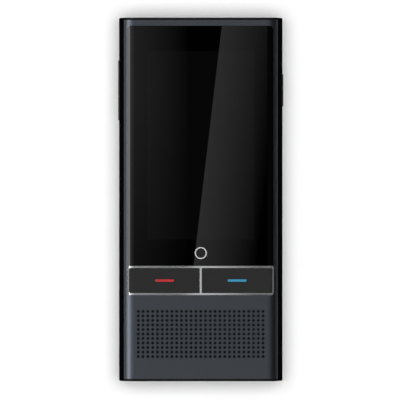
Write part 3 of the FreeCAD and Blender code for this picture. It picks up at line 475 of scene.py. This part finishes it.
def clearWindow():
    # Coated glass over the camera, ground and polished: clear, with a cool tint where it mirrors the room
    # and a ground edge of 0.06 mm
    material, tree, shader = newMaterial("coated_camera_glass", "#e6ecf6", roughness=0.0, IOR=1.5,
                                         Transmission_Weight=1.0)
    tree.links.new(roundedEdges(tree, 0.06), shader.inputs["Normal"])
    return material


def lensCoat():
    # Moulded lens element under a vacuum-laid coating: near black, with a painted violet and green sheen
    # in its colour, which moves over its curve as the face turns from the eye
    material, tree, shader = newMaterial("coated_lens_element", "#05060a", roughness=0.03, IOR=1.7,
                                         Coat_Weight=1.0, Coat_Roughness=0.02)
    # painted sheen: the colour runs from violet to green as the face turns from the eye
    bend = addNode(tree, "ShaderNodeLayerWeight", {"Blend": 0.35})
    tree.links.new(mixed(tree, bend.outputs["Facing"], "#0d0c24", "#123024"), shader.inputs["Base Color"])
    return material


weaveLook = {
    "pitch": 0.3,
    "opening": "#030303",
    "wire": "#1a1a1a",
    "wireRange": (0.2, 0.9),   # how high in the weave the openings end and the wire is full
    "relief": 0.05,
    "bump": 0.6,
}


def wovenMesh():
    # Blackened steel mesh, woven: square openings 0.12 mm apart, drawn at 0.3 mm so that they show
    material, tree, shader = newMaterial("woven_blackened_steel_mesh", "#0a0a0a", roughness=0.6,
                                         metallic=0.3)
    place = addNode(tree, "ShaderNodeSeparateXYZ", {},
                    {0: addNode(tree, "ShaderNodeTexCoord").outputs["Object"]})
    waves = []
    for axis in ("X", "Y"):
        turns = addNode(tree, "ShaderNodeMath",
                        {"operation": "MULTIPLY", 1: 2 * math.pi / (weaveLook["pitch"] * mm)},
                        {0: place.outputs[axis]})
        waves.append(addNode(tree, "ShaderNodeMath", {"operation": "COSINE"}, {0: turns.outputs[0]}))
    weave = addNode(tree, "ShaderNodeMath", {"operation": "MAXIMUM"},
                    {0: waves[0].outputs[0], 1: waves[1].outputs[0]}).outputs[0]
    tree.links.new(mixed(tree, weave, weaveLook["opening"], weaveLook["wire"], *weaveLook["wireRange"]),
                   shader.inputs["Base Color"])
    raised(tree, shader, weave, weaveLook["relief"], weaveLook["bump"])
    return material


boardLook = {
    "mask": "#163c26",
    "track": "#2a6a42",
    "field": 6.0,              # two copper fields side by side
    "trackWidth": 0.18,
    "fieldHeights": (0.2, 0.5),
    "trackFrom": 0.3,          # the height at which the mask's colour starts to brighten
    "relief": 0.03,
    "bump": 0.4,
}


def circuitBoard():
    # Glass-fibre board under green solder mask: glossy green with the faint relief of its copper fields
    # and of the 0.18 mm tracks between them
    material, tree, shader = newMaterial("solder_masked_fibreglass", boardLook["mask"], roughness=0.32)
    low, high = boardLook["fieldHeights"]
    tracks = addNode(tree, "ShaderNodeTexBrick",
                     {"Scale": 1 / (boardLook["field"] * mm),
                      "Mortar Size": boardLook["trackWidth"] / boardLook["field"],
                      "Color1": (low, low, low, 1), "Color2": (high, high, high, 1), "Mortar": (1, 1, 1, 1)},
                     {"Vector": addNode(tree, "ShaderNodeTexCoord").outputs["Object"]}).outputs["Color"]
    tree.links.new(mixed(tree, tracks, boardLook["mask"], boardLook["track"], boardLook["trackFrom"]),
                   shader.inputs["Base Color"])
    raised(tree, shader, tracks, boardLook["relief"], boardLook["bump"])
    return material


# Every slot of the record has its finish; the last ones are inside and show only where the part is opened
finishes = {
    "housing": anodised,
    "frame": blackMoulded,
    "side_keys": satinMoulded,
    "keys": softTouch,
    "bezel": silvered,
    "glass_black": coverGlass,
    "ring_print": greyInk,
    "light_red": redBar,
    "light_blue": blueBar,
    "tray": blackMoulded,
    "lens": clearWindow(),
    # Polycarbonate moulded frosted: milky warm white, its frost of 0.05 mm drawn at 0.3 mm
    "lamp": grained("frosted_polycarbonate_lens", "#f1ecd6", "#e8e1c6", roughness=0.28, grain=0.3, bump=0.05,
                    edge=0.05, IOR=1.58, Transmission_Weight=0.35),
    "steel": turnedSteel,
    "mesh": wovenMesh(),
    "board": circuitBoard(),
    # Double-sided film and foam tape, cast and die-cut: dead matt, with cells of 0.2 mm
    "adhesive": grained("black_foam_tape", "#181818", "#232323", roughness=0.85, grain=0.2, bump=0.4),
    # Display stack, laminated: smooth dark blue-black with waves of 2 mm
    "display": grained("laminated_liquid_crystal_panel", "#08090d", "#0a0b10", roughness=0.15, grain=2.0,
                       bump=0.02),
    # Polyimide film with etched copper inside: translucent amber, smooth, with ripples of 0.5 mm
    "flex": grained("polyimide_film_circuit", "#a5621d", "#8a5016", roughness=0.35, grain=0.5, bump=0.06),
    # Moulded silicone rubber: soft dark grey without shine, with a 0.4 mm unevenness
    "silicone": grained("moulded_silicone_rubber", "#38383a", "#2f2f31", roughness=0.6, grain=0.4,
                        bump=0.12),
    # Stamped spring steel: bright, with rolling marks of 0.02 mm drawn at 0.3 mm
    "dome_metal": grained("stamped_spring_steel", "#c4c6c8", "#b2b4b7", roughness=0.28, grain=0.3,
                          bump=0.08, metallic=1.0),
    # Phosphor cast over a ceramic light: warm pale yellow, with powder grains of 0.02 mm drawn at 0.2 mm
    "led": grained("phosphor_coated_ceramic", "#f0e6a0", "#e4d98c", roughness=0.5, grain=0.2, bump=0.06),
    # Moulded epoxy of the chips: black-grey, its sandy face of 0.02 mm drawn at 0.15 mm
    "chips": grained("moulded_epoxy", "#151617", "#1c1d1e", roughness=0.55, grain=0.15, bump=0.2),
    # Pressed aluminium laminate of the battery's pouch: soft silver with gentle waves of 1.5 mm
    "battery": grained("aluminium_laminate_pouch", "#c2c5c7", "#b0b3b6", roughness=0.4, grain=1.5, bump=0.2,
                       metallic=0.8),
}

for part in frame["record"]["subparts"]:
    node = frame["nodes"][part["node"]]
    node.data.materials.clear()
    node.data.materials.append(finishes[part["material_slot"]])
print("materials made and given to the packed nodes")


# Talk keys: their openings are shared by the shell and the bezel

bezelLook = {
    "line": 0.65,              # width of the bright lines above and below the talk keys
    "side": 0.45,              # of those at their outer ends
    "bar": 0.7,                # of the bar between them
    "corner": 0.8,
    "upperCorner": 0.2,
    "keyCorner": 0.35,
}


def keyOutline(side, gap):
    # the opening of one talk key, grown by the gap: side is 1 on the right and -1 on the left
    inner = side * (bezelLook["bar"] / 2 - gap)
    outer = side * (bezelHigh[0] - bezelLook["side"] + gap)
    return roundedBox(min(inner, outer), max(inner, outer), bezelLow[1] + bezelLook["line"] - gap,
                      bezelHigh[1] - bezelLook["line"] + gap, bezelLook["keyCorner"])


# Front shell with the drilled grille

glassLook = {
    "corner": 1.3,
    "lowerCorner": 0.2,
    "ledge": 1.5,              # width of the shell's ledge that the glass is stuck to
    "windowCorner": 0.3,       # of the shell's opening behind the glass
}
grille = {
    "columns": 27,
    "rows": 11,
    "pitchAcross": 1.643,
    "pitchAlong": 1.545,
    "rise": 16.15,             # bottom end of the body to the middle of the grille
    "diameter": 1.0,
    "brokenEdge": 0.06,        # bevel that the drill leaves at the front
    "wall": 1.0,               # what is left of the shell over the loudspeaker
    "hollowWidth": 45.2,
    "hollowLength": 20.8,
    "hollowCorner": 0.5,
    "sides": 22,
}


def grillePins():
    # one solid for each hole, wider at the front
    narrow = grille["diameter"] / 2
    wide = narrow + grille["brokenEdge"]
    levels = [(depth - grille["wall"] - beyond, narrow), (depth - grille["brokenEdge"], narrow),
              (depth, wide), (aboveFront, wide)]
    points = []
    faces = []
    for column in range(grille["columns"]):
        for row in range(grille["rows"]):
            x = (column - (grille["columns"] - 1) / 2) * grille["pitchAcross"]
            y = grille["rise"] - halfLength + (row - (grille["rows"] - 1) / 2) * grille["pitchAlong"]
            faces += ringFaces(grille["sides"], len(levels), len(points))
            for z, radius in levels:
                points += [(px, py, z) for px, py in circle(x, y, radius, grille["sides"])]
    return meshObject("grille_pins", points, faces)


def shellForm(name):
    edge = shape["shellChamfer"]
    return bodyForm(name, [(-shellEnd, edge), (-shellEnd + edge, 0.0), (shellEnd - edge, 0.0),
                           (shellEnd, edge)])


def frontShell():
    gap = shape["fitGap"]
    shell = combine(shellForm("front_shell"), slab(frontSeam, aboveFront), "INTERSECT")
    recess = roundedBox(glassLow[0] - gap, glassHigh[0] + gap, bezelLow[1] - gap, glassHigh[1] + gap,
                        bezelLook["corner"], glassLook["corner"])
    window = outlineOf(glassLow, glassHigh, glassLook["windowCorner"], grow=-glassLook["ledge"])
    hollow = around(0, grille["rise"] - halfLength, grille["hollowWidth"], grille["hollowLength"],
                    grille["hollowCorner"])
    openings = {"window": window, "left_opening": keyOutline(-1, gap), "right_opening": keyOutline(1, gap)}
    cut(shell, upright("recess", recess, inlayFloor, aboveFront),
        *[upright(name, outline, frontSeam - beyond, inlayFloor + beyond)
          for name, outline in openings.items()],
        upright("hollow", hollow, frontSeam - beyond, depth - grille["wall"]),
        grillePins())
    finish(shell, anodised, "housing", "body", "front_housing")


frontShell()
print("front shell with its grille")


# Back shell

backLook = {
    "wall": 1.1,
    "endWall": 2.25,
    "hollowWidth": 45.0,
    "hollowCorner": 0.5,
    "cameraHole": 8.1,
    "cameraAcross": -14.0,
    "lampHole": 2.9,
    "lampAcross": -4.0,
    "fromTop": 12.2,           # top end of the body to the camera and the lamp
}
cameraPlace = (backLook["cameraAcross"], halfLength - backLook["fromTop"])
lampPlace = (backLook["lampAcross"], halfLength - backLook["fromTop"])


def backShell():
    seam = shape["seamDepth"]
    shell = combine(shellForm("back_shell"), slab(-beyond, seam), "INTERSECT")
    hollow = around(0, 0, backLook["hollowWidth"], 2 * (shellEnd - backLook["endWall"]),
                    backLook["hollowCorner"])
    cut(shell, upright("hollow", hollow, backLook["wall"], seam + beyond),
        upright("camera_hole", circle(*cameraPlace, backLook["cameraHole"] / 2), -beyond, seam + beyond),
        upright("lamp_hole", circle(*lampPlace, backLook["lampHole"] / 2), -beyond, seam + beyond))
    finish(shell, anodised, "housing", "body", "rear_cover")


backShell()
print("back shell")


# End caps with softened edges and their openings

capLook = {
    "edge": 0.4,
    "edgeSteps": 4,
    "socketWidth": 9.24,
    "socketHeight": 3.46,
    "socketCorner": 1.58,
    "soundHole": 0.9,
    "soundSides": 32,
    "topSoundPlace": (-3.0, 7.5),
    "bottomSoundPlace": (-14.0, 5.22),
    "trayGap": 0.05,
    "trayCorner": 0.25,
}


def endCap(name, side, openings):
    edge = capLook["edge"]
    ends = [(side * shellEnd, 0.0), (side * (halfLength - edge), 0.0)]
    for step in range(1, capLook["edgeSteps"] + 1):
        angle = math.pi / 2 * step / capLook["edgeSteps"]
        ends.append((side * (halfLength - edge * (1 - math.sin(angle))), edge * (1 - math.cos(angle))))
    cap = bodyForm(name + "_piece", ends)
    near, far = sorted((side * (shellEnd - beyond), side * (halfLength + beyond)))
    for opening in openings:
        cut(cap, alongY("opening", opening, near, far))
    finish(cap, blackMoulded, "frame", "body", name)


trayLow, trayHigh = box("card_tray")
endCap("top_end_cap", 1, [
    circle(*capLook["topSoundPlace"], capLook["soundHole"] / 2, capLook["soundSides"]),
    outlineOf(trayLow[::2], trayHigh[::2], capLook["trayCorner"], grow=capLook["trayGap"]),
])
endCap("bottom_end_cap", -1, [
    circle(*capLook["bottomSoundPlace"], capLook["soundHole"] / 2, capLook["soundSides"]),
    around(0, middle, capLook["socketWidth"], capLook["socketHeight"], capLook["socketCorner"]),
])
print("end caps")


# Cover glass and the home ring printed on it

ringLook = {
    "diameter": 4.18,
    "line": 0.45,
    "depth": 0.1,
    "rise": 4.35,              # lower edge of the glass to the middle of the ring
    "gap": 0.025,
}


def glassAndRing():
    y = glassLow[1] + ringLook["rise"]
    outer = ringLook["diameter"] / 2
    inner = outer - ringLook["line"]
    floor = depth - ringLook["depth"]
    outline = outlineOf(glassLow, glassHigh, glassLook["lowerCorner"], glassLook["corner"])
    glass = crowned(upright("cover_glass_piece", outline, glassLow[2], aboveFront))
    cut(glass, turnedRing("groove", 0, y, [(inner, floor), (outer, floor), (outer, aboveFront),
                                           (inner, aboveFront)]))
    finish(glass, coverGlass, "glass_black", "body", "cover_glass")
    inner += ringLook["gap"]
    outer -= ringLook["gap"]
    ring = turnedRing("home_ring_piece", 0, y, [(inner, floor), (outer, floor), (outer, depth),
                                                (inner, depth)])
    finish(ring, greyInk, "ring_print", "body", "home_ring")


glassAndRing()
print("cover glass and home ring")


# Key bezel, talk keys and light bars

keyLook = {
    "gap": 0.08,               # between a talk key and the bezel
    "flange": 0.6,
    "flangeCorner": 0.3,
    "lightGap": 0.02,
    "lightCorner": 0.3,
    "lightInset": 0.03,        # how much narrower each light bar is than its node, on both sides
}


def keyBezel():
    outline = outlineOf(bezelLow, bezelHigh, bezelLook["corner"], bezelLook["upperCorner"])
    bezel = crowned(upright("key_bezel_piece", outline, inlayFloor, aboveFront))
    inner = bezelHigh[0] - bezelLook["side"]
    outer = bezelHigh[0] + beyond
    bend = shape["shoulderRadius"]
    level = depth - bend + math.sqrt(bend ** 2 - (bezelHigh[0] - shape["flatHalf"]) ** 2)
    for side in (1, -1):
        line = rectangle(*sorted((side * inner, side * outer)), bezelLow[1] - beyond, bezelHigh[1] + beyond)
        cut(bezel, upright("opening", keyOutline(side, 0), inlayFloor - beyond, aboveFront),
            upright("flat_side", line, level, aboveFront))
    finish(bezel, silvered, "bezel", "body", "key_bezel")


def talkKey(colour, side, lightMaterial):
    low, high = box(colour + "_key_cap")
    lightLow, lightHigh = box(colour + "_light_bar")
    lightLow[1] += keyLook["lightInset"]
    lightHigh[1] -= keyLook["lightInset"]
    cap = crowned(upright(colour + "_key_piece", keyOutline(side, -keyLook["gap"]),
                          low[2] + keyLook["flange"] / 2, aboveFront))
    flange = outlineOf(low, high, keyLook["flangeCorner"])
    join(cap, upright("flange", flange, low[2], low[2] + keyLook["flange"]))
    slot = outlineOf(lightLow, lightHigh, keyLook["lightCorner"], grow=keyLook["lightGap"])
    cut(cap, upright("slot", slot, low[2] - beyond, aboveFront))
    finish(cap, softTouch, "keys", colour + "_key", colour + "_key_cap")
    outline = outlineOf(lightLow, lightHigh, keyLook["lightCorner"])
    bar = crowned(upright(colour + "_light_piece", outline, lightLow[2], aboveFront))
    finish(bar, lightMaterial, "light_" + colour, colour + "_key", colour + "_light_bar")


keyBezel()
talkKey("red", -1, redBar)
talkKey("blue", 1, blueBar)
print("bezel, talk keys and light bars")


# Volume rocker and power key

sideKeyLook = {
    "proud": 0.29,             # how far the keys stand out of the frame
    "height": 3.0,
    "corner": 1.1,
    "flangeThickness": 0.6,
    "flangeReach": 0.9,
    "flangeCorner": 0.3,
    "flangeOverlap": 0.2,      # how deep the key is sunk in its flange
    "nubWidth": 1.6,
    "nubLength": 0.45,
    "nubCorner": 0.3,
    "nubOverlap": 0.1,
    "volumeNubs": (-6.5, 0.0, 6.5),
    "powerNubs": (0.0,),
}


def sideKey(node, body, side, nubPlaces):
    low, high = box(node)
    inside = high[0] if side < 0 else low[0]
    outside = low[0] if side < 0 else high[0]
    along = (low[1] + high[1]) / 2
    level = (low[2] + high[2]) / 2
    length = high[1] - low[1] - 2 * sideKeyLook["flangeReach"]
    flangeInside = inside + side * sideKeyLook["nubLength"]
    flangeOutside = flangeInside + side * sideKeyLook["flangeThickness"]
    keyInside = flangeOutside - side * sideKeyLook["flangeOverlap"]
    nubOutside = flangeInside + side * sideKeyLook["nubOverlap"]
    outline = around(along, level, length, sideKeyLook["height"], sideKeyLook["corner"])
    key = crowned(alongX(node + "_piece", outline, *sorted((keyInside, outside + side * beyond))),
                  sideKeyLook["proud"])
    flange = outlineOf(low[1:], high[1:], sideKeyLook["flangeCorner"])
    join(key, alongX("flange", flange, *sorted((flangeInside, flangeOutside))))
    for place in nubPlaces:
        nub = around(along + place, level, sideKeyLook["nubWidth"], sideKeyLook["nubWidth"],
                     sideKeyLook["nubCorner"])
        join(key, alongX("nub", nub, *sorted((inside, nubOutside))))
    finish(key, satinMoulded, "side_keys", body, node)


sideKey("volume_rocker", "volume", -1, sideKeyLook["volumeNubs"])
sideKey("power_key", "power", 1, sideKeyLook["powerNubs"])
print("side keys")


# Snap domes, copied as they stand: for each, the joint that would press it, the axis that it would flatten
# along (0 is X and 2 is Z) and the share of its height that would be left

domeLook = {
    "red_dome": ("red_key_press", 2, 0.33),
    "blue_dome": ("blue_key_press", 2, 0.33),
    "power_dome": ("power_key_press", 0, 0.45),
    "volume_up_dome": ("volume_rock", 0, 0.7),
    "volume_down_dome": ("volume_rock", 0, 0.7),
}


def snapDome(node, axis):
    low, high = box(node)
    foot = [(first + second) / 2 for first, second in zip(low, high)]
    foot[axis] = min(low[axis], high[axis], key=abs)  # the board side of the dome
    dome = bpy.data.objects.new(node + "_piece", frame["nodes"][node].data.copy())
    bpy.context.scene.collection.objects.link(dome)
    finish(dome, finishes["dome_metal"], "dome_metal", "body", node)
    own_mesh(dome)


for node, (joint, axis, keep) in domeLook.items():
    snapDome(node, axis)
print("snap domes")


# Camera and lamp in the back

cameraLook = {
    "ringChamfer": 0.15,
    "lipWidth": 0.35,          # bright conical lip round the window
    "windowGap": 0.05,
    "windowEdge": 0.1,
    "moduleCorner": 0.5,
    "barrelRadius": 2.8,
    "barrelHeight": 0.7,
    "barrelEdge": 0.1,
    "barrelOverlap": 0.2,      # how deep the barrel is sunk in the module
    "wellInsets": (0.35, 0.75),  # the two upper steps of the barrel's well, in from the barrel's radius
    "wellDepths": (0.15, 0.4),
    "lensGap": 0.15,
    "lensRadius": 1.35,
    "lensDepth": 0.9,          # front of the barrel to the rim of the lens
    "lensRise": 0.35,
    "lensRim": 0.25,
    "lensSteps": 8,
    "lensFlat": 0.3,           # share of a step that is left flat in the middle of the lens
    "wellBehind": 0.3,         # rim of the lens to the bottom of the well
}


def cameraRing():
    x, y = cameraPlace
    low, high = box("camera_ring")
    radius = (high[0] - low[0]) / 2
    windowLow, windowHigh = box("camera_window")
    bore = (windowHigh[0] - windowLow[0]) / 2
    opening = bore + cameraLook["windowGap"]
    lip = bore + cameraLook["lipWidth"]
    chamfer = cameraLook["ringChamfer"]
    ring = turnedRing("camera_ring_piece", x, y, [
        (opening, high[2]), (radius, high[2]), (radius, low[2] + chamfer), (radius - chamfer, low[2]),
        (lip, low[2]), (opening, windowLow[2]),
    ])
    finish(ring, turnedSteel, "bezel", "body", "camera_ring")
    edge = cameraLook["windowEdge"]
    window = turnedDisc("camera_window_piece", x, y, [
        (bore - edge, windowLow[2]), (bore, windowLow[2] + edge), (bore, windowHigh[2]),
    ])
    finish(window, finishes["lens"], "lens", "body", "camera_window")


def cameraModule():
    x, y = cameraPlace
    low, high = box("camera_module")
    front = low[2]
    shoulder = front + cameraLook["barrelHeight"]
    module = upright("camera_module_piece", outlineOf(low, high, cameraLook["moduleCorner"]), shoulder,
                     high[2])
    barrel = cameraLook["barrelRadius"]
    edge = cameraLook["barrelEdge"]
    join(module, turnedDisc("barrel", x, y, [(barrel - edge, front), (barrel, front + edge),
                                             (barrel, shoulder + cameraLook["barrelOverlap"])]))
    lens = cameraLook["lensRadius"]
    seat = front + cameraLook["lensDepth"]
    walls = [barrel - inset for inset in cameraLook["wellInsets"]] + [lens + cameraLook["lensGap"]]
    levels = [front - beyond, *[front + deep for deep in cameraLook["wellDepths"]],
              seat + cameraLook["wellBehind"]]
    cut(module, turnedDisc("well", x, y, [(wall, level) for index, wall in enumerate(walls)
                                          for level in levels[index:index + 2]]))
    finish(module, finishes["chips"], "chips", "body", "camera_module")
    rings = []
    for step in range(cameraLook["lensSteps"]):
        angle = (step + cameraLook["lensFlat"]) / cameraLook["lensSteps"] * math.pi / 2
        rings.append((lens * math.sin(angle), seat - cameraLook["lensRise"] * math.cos(angle)))
    rings += [(lens, seat), (lens, seat + cameraLook["lensRim"])]
    finish(turnedDisc("camera_lens_piece", x, y, rings), lensCoat(), "lens", "body")


lampLook = {
    "middle": 0.2,             # radius of the flat middle, and width of the flat rim
    "ridges": 5,               # slopes between the middle and the rim
    "ridgeDepth": 0.07,
    "edge": 0.08,
    "crispFrom": 12,
}


def lampPiece():
    low, high = box("lamp_lens")
    radius = (high[0] - low[0]) / 2
    ridges = lampLook["ridges"]
    rings = []
    for step in range(ridges + 1):
        rings.append((lampLook["middle"] + (radius - 2 * lampLook["middle"]) * step / ridges,
                      low[2] + (lampLook["ridgeDepth"] if step % 2 else 0.0)))
    edge = lampLook["edge"]
    rings += [(radius - edge, low[2]), (radius, low[2] + edge), (radius, high[2])]
    finish(turnedDisc("lamp_lens_piece", *lampPlace, rings), finishes["lamp"], "lamp", "body", "lamp_lens",
           crispFrom=lampLook["crispFrom"])


cameraRing()
cameraModule()
lampPiece()
print("camera and lamp")


# Gold contacts on both faces of the socket's tongue

contactLook = {
    "count": 12,
    "pitch": 0.5,
    "width": 0.27,
    "length": 3.2,
    "outerLength": 3.5,        # the outermost two reach nearer to the mouth
    "corner": 0.05,
    "thickness": 0.03,
    "tongueHalf": 0.35,
    "end": 3.7,                # front of the tongue to the inner end of the contacts
}


def socketContacts():
    mouth = box("usb_tongue")[0][1]
    last = contactLook["count"] - 1
    points = []
    faces = []
    for level in (middle + contactLook["tongueHalf"],
                  middle - contactLook["tongueHalf"] - contactLook["thickness"]):
        for index in range(contactLook["count"]):
            x = (index - last / 2) * contactLook["pitch"]
            length = contactLook["outerLength" if index in (0, last) else "length"]
            outline = around(x, mouth + contactLook["end"] - length / 2, contactLook["width"], length,
                             contactLook["corner"])
            faces += ringFaces(len(outline), 2, len(points))
            for z in (level, level + contactLook["thickness"]):
                points += [(px, py, z) for px, py in outline]
    finish(meshObject("socket_contacts", points, faces), goldPlate, "steel", "body")


socketContacts()
print("socket contacts")


# Camera, straight above as in the photograph

view = {
    "frameWidth": 137.17,      # what the picture spans at the level below
    "level": 7.0,
    "x": -0.27,
    "y": -0.2,
    "lens": 600.0,
    "sensor": 36.0,
    "clipEnd": 50.0,           # metres
}


def addCamera():
    data = bpy.data.cameras.new("camera")
    data.lens = view["lens"]
    data.sensor_width = view["sensor"]
    data.clip_end = view["clipEnd"]
    item = bpy.data.objects.new("camera", data)
    distance = view["frameWidth"] * view["lens"] / view["sensor"]
    item.location = (view["x"] * mm, view["y"] * mm, (view["level"] + distance) * mm)
    bpy.context.scene.collection.objects.link(item)
    bpy.context.scene.camera = item


# Floor

floorLook = {
    "colour": "#f5f5f5",
    "lift": 0.03,              # added to the floor for the eye, up to paper white
    "half": 4000.0,
    "drop": 0.02,
}


def backgroundRays(tree, *kinds):
    # 1 for a ray of one of these kinds, otherwise 0
    rays = addNode(tree, "ShaderNodeLightPath")
    shown = rays.outputs[kinds[0]]
    for kind in kinds[1:]:
        shown = addNode(tree, "ShaderNodeMath", {"operation": "MAXIMUM"},
                        {0: shown, 1: rays.outputs[kind]}).outputs[0]
    return shown


def studioFloor():
    # Matt white paper sweep, coated and rolled out: plain and pale, with the object's soft shadow
    material, tree, shader = newMaterial("white_paper_sweep", floorLook["colour"], roughness=0.9,
                                         Specular_IOR_Level=0.1)
    lift = addNode(tree, "ShaderNodeMath", {"operation": "MULTIPLY", 1: floorLook["lift"]},
                   {0: backgroundRays(tree, "Is Camera Ray", "Is Glossy Ray", "Is Transmission Ray")})
    shader.inputs["Emission Color"].default_value = (1, 1, 1, 1)
    tree.links.new(lift.outputs[0], shader.inputs["Emission Strength"])
    half = floorLook["half"]
    floor = meshObject("floor", [(x, y, -floorLook["drop"]) for x, y in rectangle(-half, half, -half, half)],
                       [[0, 1, 2, 3]])
    floor.data.materials.append(material)


# Cards that only gloss and metal see

def onlyReflected(item):
    item.visible_camera = False
    item.visible_diffuse = False
    item.visible_transmission = False
    item.visible_volume_scatter = False
    item.visible_shadow = False


# Lengths as they show on the glass, which mirrors the card at a smaller scale
cardLook = {
    "mirrorScale": 1.433,      # a point of the card per point of the glass that mirrors it
    "slant": 0.1175,           # lean of the bright part's edge
    "edgeShift": 0.3,
    "edgeBlur": 0.1,
    "edgeBright": 0.54,
    "fadeLength": 21.5,        # edge of the bright part to where it has faded out
    "leftStart": -3.7,
    "leftEnd": -23.5,
    "leftBright": 0.33,
    "leftNear": -19.0,         # the left part is dimmer towards the talk keys
    "leftNearShare": 0.42,
    "leftFar": 37.5,
    "outerRise": 0.67,         # how much brighter the card gets from leftEnd to its outer end
}
cardPlace = {"height": 1000.0, "left": -950.0, "right": 60.0, "half": 200.0}  # the card's own lengths


def reflectionCard():
    # A graded card above the object: its slanted edge and its two fades cross the glass
    material = bpy.data.materials.new("graded_reflection_card")
    material.use_nodes = True
    tree = material.node_tree
    tree.nodes.clear()
    scaled = {key: value * cardLook["mirrorScale"] * mm for key, value in cardLook.items()}
    start = scaled["edgeShift"]
    place = addNode(tree, "ShaderNodeTexCoord").outputs["Object"]
    split = addNode(tree, "ShaderNodeSeparateXYZ", {}, {0: place})
    slanted = addNode(tree, "ShaderNodeVectorMath",
                      {"operation": "DOT_PRODUCT", 1: (1.0, -cardLook["slant"], 0.0)},
                      {0: place}).outputs["Value"]
    x, y = split.outputs["X"], split.outputs["Y"]
    # along what each fade runs, from where to where, and from how bright to how bright
    fades = [
        (slanted, start - scaled["edgeBlur"], start + scaled["edgeBlur"], 0.0, 1.0),
        (slanted, start, start + scaled["fadeLength"], cardLook["edgeBright"], 0.0),
        (x, scaled["leftStart"], scaled["leftEnd"], 0.0, cardLook["leftBright"]),
        (y, scaled["leftNear"], scaled["leftFar"], cardLook["leftNearShare"], 1.0),
        (x, scaled["leftEnd"], cardPlace["left"] * mm, 0.0, cardLook["outerRise"]),
    ]
    edge, bright, left, towardsKeys, outer = [
        addNode(tree, "ShaderNodeMapRange", {"From Min": low, "From Max": high, "To Min": first,
                                             "To Max": last}, {"Value": source}).outputs["Result"]
        for source, low, high, first, last in fades]
    level = outer
    for first, second in ((edge, bright), (left, towardsKeys)):
        level = addNode(tree, "ShaderNodeMath", {"operation": "MULTIPLY_ADD"},
                        {0: first, 1: second, 2: level}).outputs[0]
    glow = addNode(tree, "ShaderNodeEmission", {}, {"Strength": level})
    addNode(tree, "ShaderNodeOutputMaterial", {}, {"Surface": glow.outputs[0]})
    outline = rectangle(cardPlace["left"], cardPlace["right"], -cardPlace["half"], cardPlace["half"])
    card = meshObject("reflection_card", [(px, py, 0) for px, py in outline], [[0, 1, 2, 3]])
    card.location.z = cardPlace["height"] * mm
    card.data.materials.append(material)
    onlyReflected(card)


flagLook = {"place": 75.0, "length": 240.0, "height": 20.0}


def lowFlags():
    # Black flocked cards low on both sides: they swallow light, and keep the floor's glare out of the
    # metal shoulders
    material = newMaterial("black_flock_card", "#010101", roughness=1.0, Specular_IOR_Level=0.0)[0]
    half = flagLook["length"] / 2
    for side in (1, -1):
        x = side * flagLook["place"]
        outline = rectangle(-half, half, 0, flagLook["height"])
        flag = meshObject("low_flag", [(x, y, z) for y, z in outline], [[0, 1, 2, 3]])
        flag.data.materials.append(material)
        onlyReflected(flag)


# Softboxes, with places and sizes in metres

softboxes = {
    "height": 1.0,
    "skyPower": 13.6,          # the plain light: colours render about as they are written
    "skySize": (1.3, 0.8),
    "stripPower": 1.7,         # the strips and the side light show in gloss and metal alone
    "stripSize": (1.35, 0.4),
    "stripOffset": 0.42,
    "sidePower": 3.8,
    "sideSize": (0.9, 0.36),
    "sidePlace": (-0.68, 0.0, 0.51),
}


def areaLight(name, power, size, place):
    # a softbox that looks at the object
    light = bpy.data.lights.new(name, "AREA")
    light.shape = "RECTANGLE"
    light.size, light.size_y = size
    light.energy = power
    item = bpy.data.objects.new(name, light)
    item.location = place
    x, y, z = place
    item.rotation_euler = (math.atan2(math.hypot(x, y), z), 0, math.atan2(x, -y) if (x or y) else 0)
    bpy.context.scene.collection.objects.link(item)
    item.visible_camera = False
    return item


def studioLights():
    sky = areaLight("overhead_softbox", softboxes["skyPower"], softboxes["skySize"],
                    (0, 0, softboxes["height"]))
    sky.visible_glossy = False
    for along in (softboxes["stripOffset"], -softboxes["stripOffset"]):
        strip = areaLight("overhead_strip", softboxes["stripPower"], softboxes["stripSize"],
                          (0, along, softboxes["height"]))
        strip.visible_diffuse = False
    sideBox = areaLight("side_softbox", softboxes["sidePower"], softboxes["sideSize"],
                        softboxes["sidePlace"])
    sideBox.visible_diffuse = False


# The room: brightness by direction, where 1 is straight up, or straight to the right

roomLook = {
    "horizon": 1.0,            # brightness at eye level
    "zenith": 0.03,            # and overhead
    "zenithFrom": 0.55,        # how far up the ceiling starts
    "darkSide": 0.16,          # share of it that is left to the right of the object
    "darkFrom": 0.86,          # how far right the room is darkest
    "darkTo": 0.6,             # and how far right it is still as bright as the rest
}


def studioWorld():
    # white behind the object, for the camera and through clear glass; gloss sees that white low down,
    # where it fades into a dark ceiling and a dark side on the right
    world = bpy.data.worlds.new("studio")
    bpy.context.scene.world = world
    world.use_nodes = True
    tree = world.node_tree
    place = addNode(tree, "ShaderNodeSeparateXYZ", {},
                    {0: addNode(tree, "ShaderNodeTexCoord").outputs["Generated"]})
    rise = addNode(tree, "ShaderNodeMapRange",
                   {"From Min": 0.0, "From Max": roomLook["zenithFrom"],
                    "To Min": roomLook["horizon"], "To Max": roomLook["zenith"]},
                   {"Value": place.outputs["Z"]})
    side = addNode(tree, "ShaderNodeMapRange",
                   {"From Min": roomLook["darkTo"], "From Max": roomLook["darkFrom"],
                    "To Min": 1.0, "To Max": roomLook["darkSide"]}, {"Value": place.outputs["X"]})
    room = addNode(tree, "ShaderNodeMath", {"operation": "MULTIPLY"},
                   {0: rise.outputs[0], 1: side.outputs[0]})
    shown = backgroundRays(tree, "Is Camera Ray", "Is Transmission Ray")
    level = addNode(tree, "ShaderNodeMix", {3: 1.0}, {0: shown, 2: room.outputs[0]})
    tree.links.new(level.outputs[0], tree.nodes["Background"].inputs["Strength"])
    tree.nodes["Background"].inputs["Color"].default_value = (1, 1, 1, 1)


addCamera()
studioFloor()
reflectionCard()
lowFlags()
studioLights()
studioWorld()
bpy.context.scene.view_settings.view_transform = "Standard"
print("camera, floor and light")
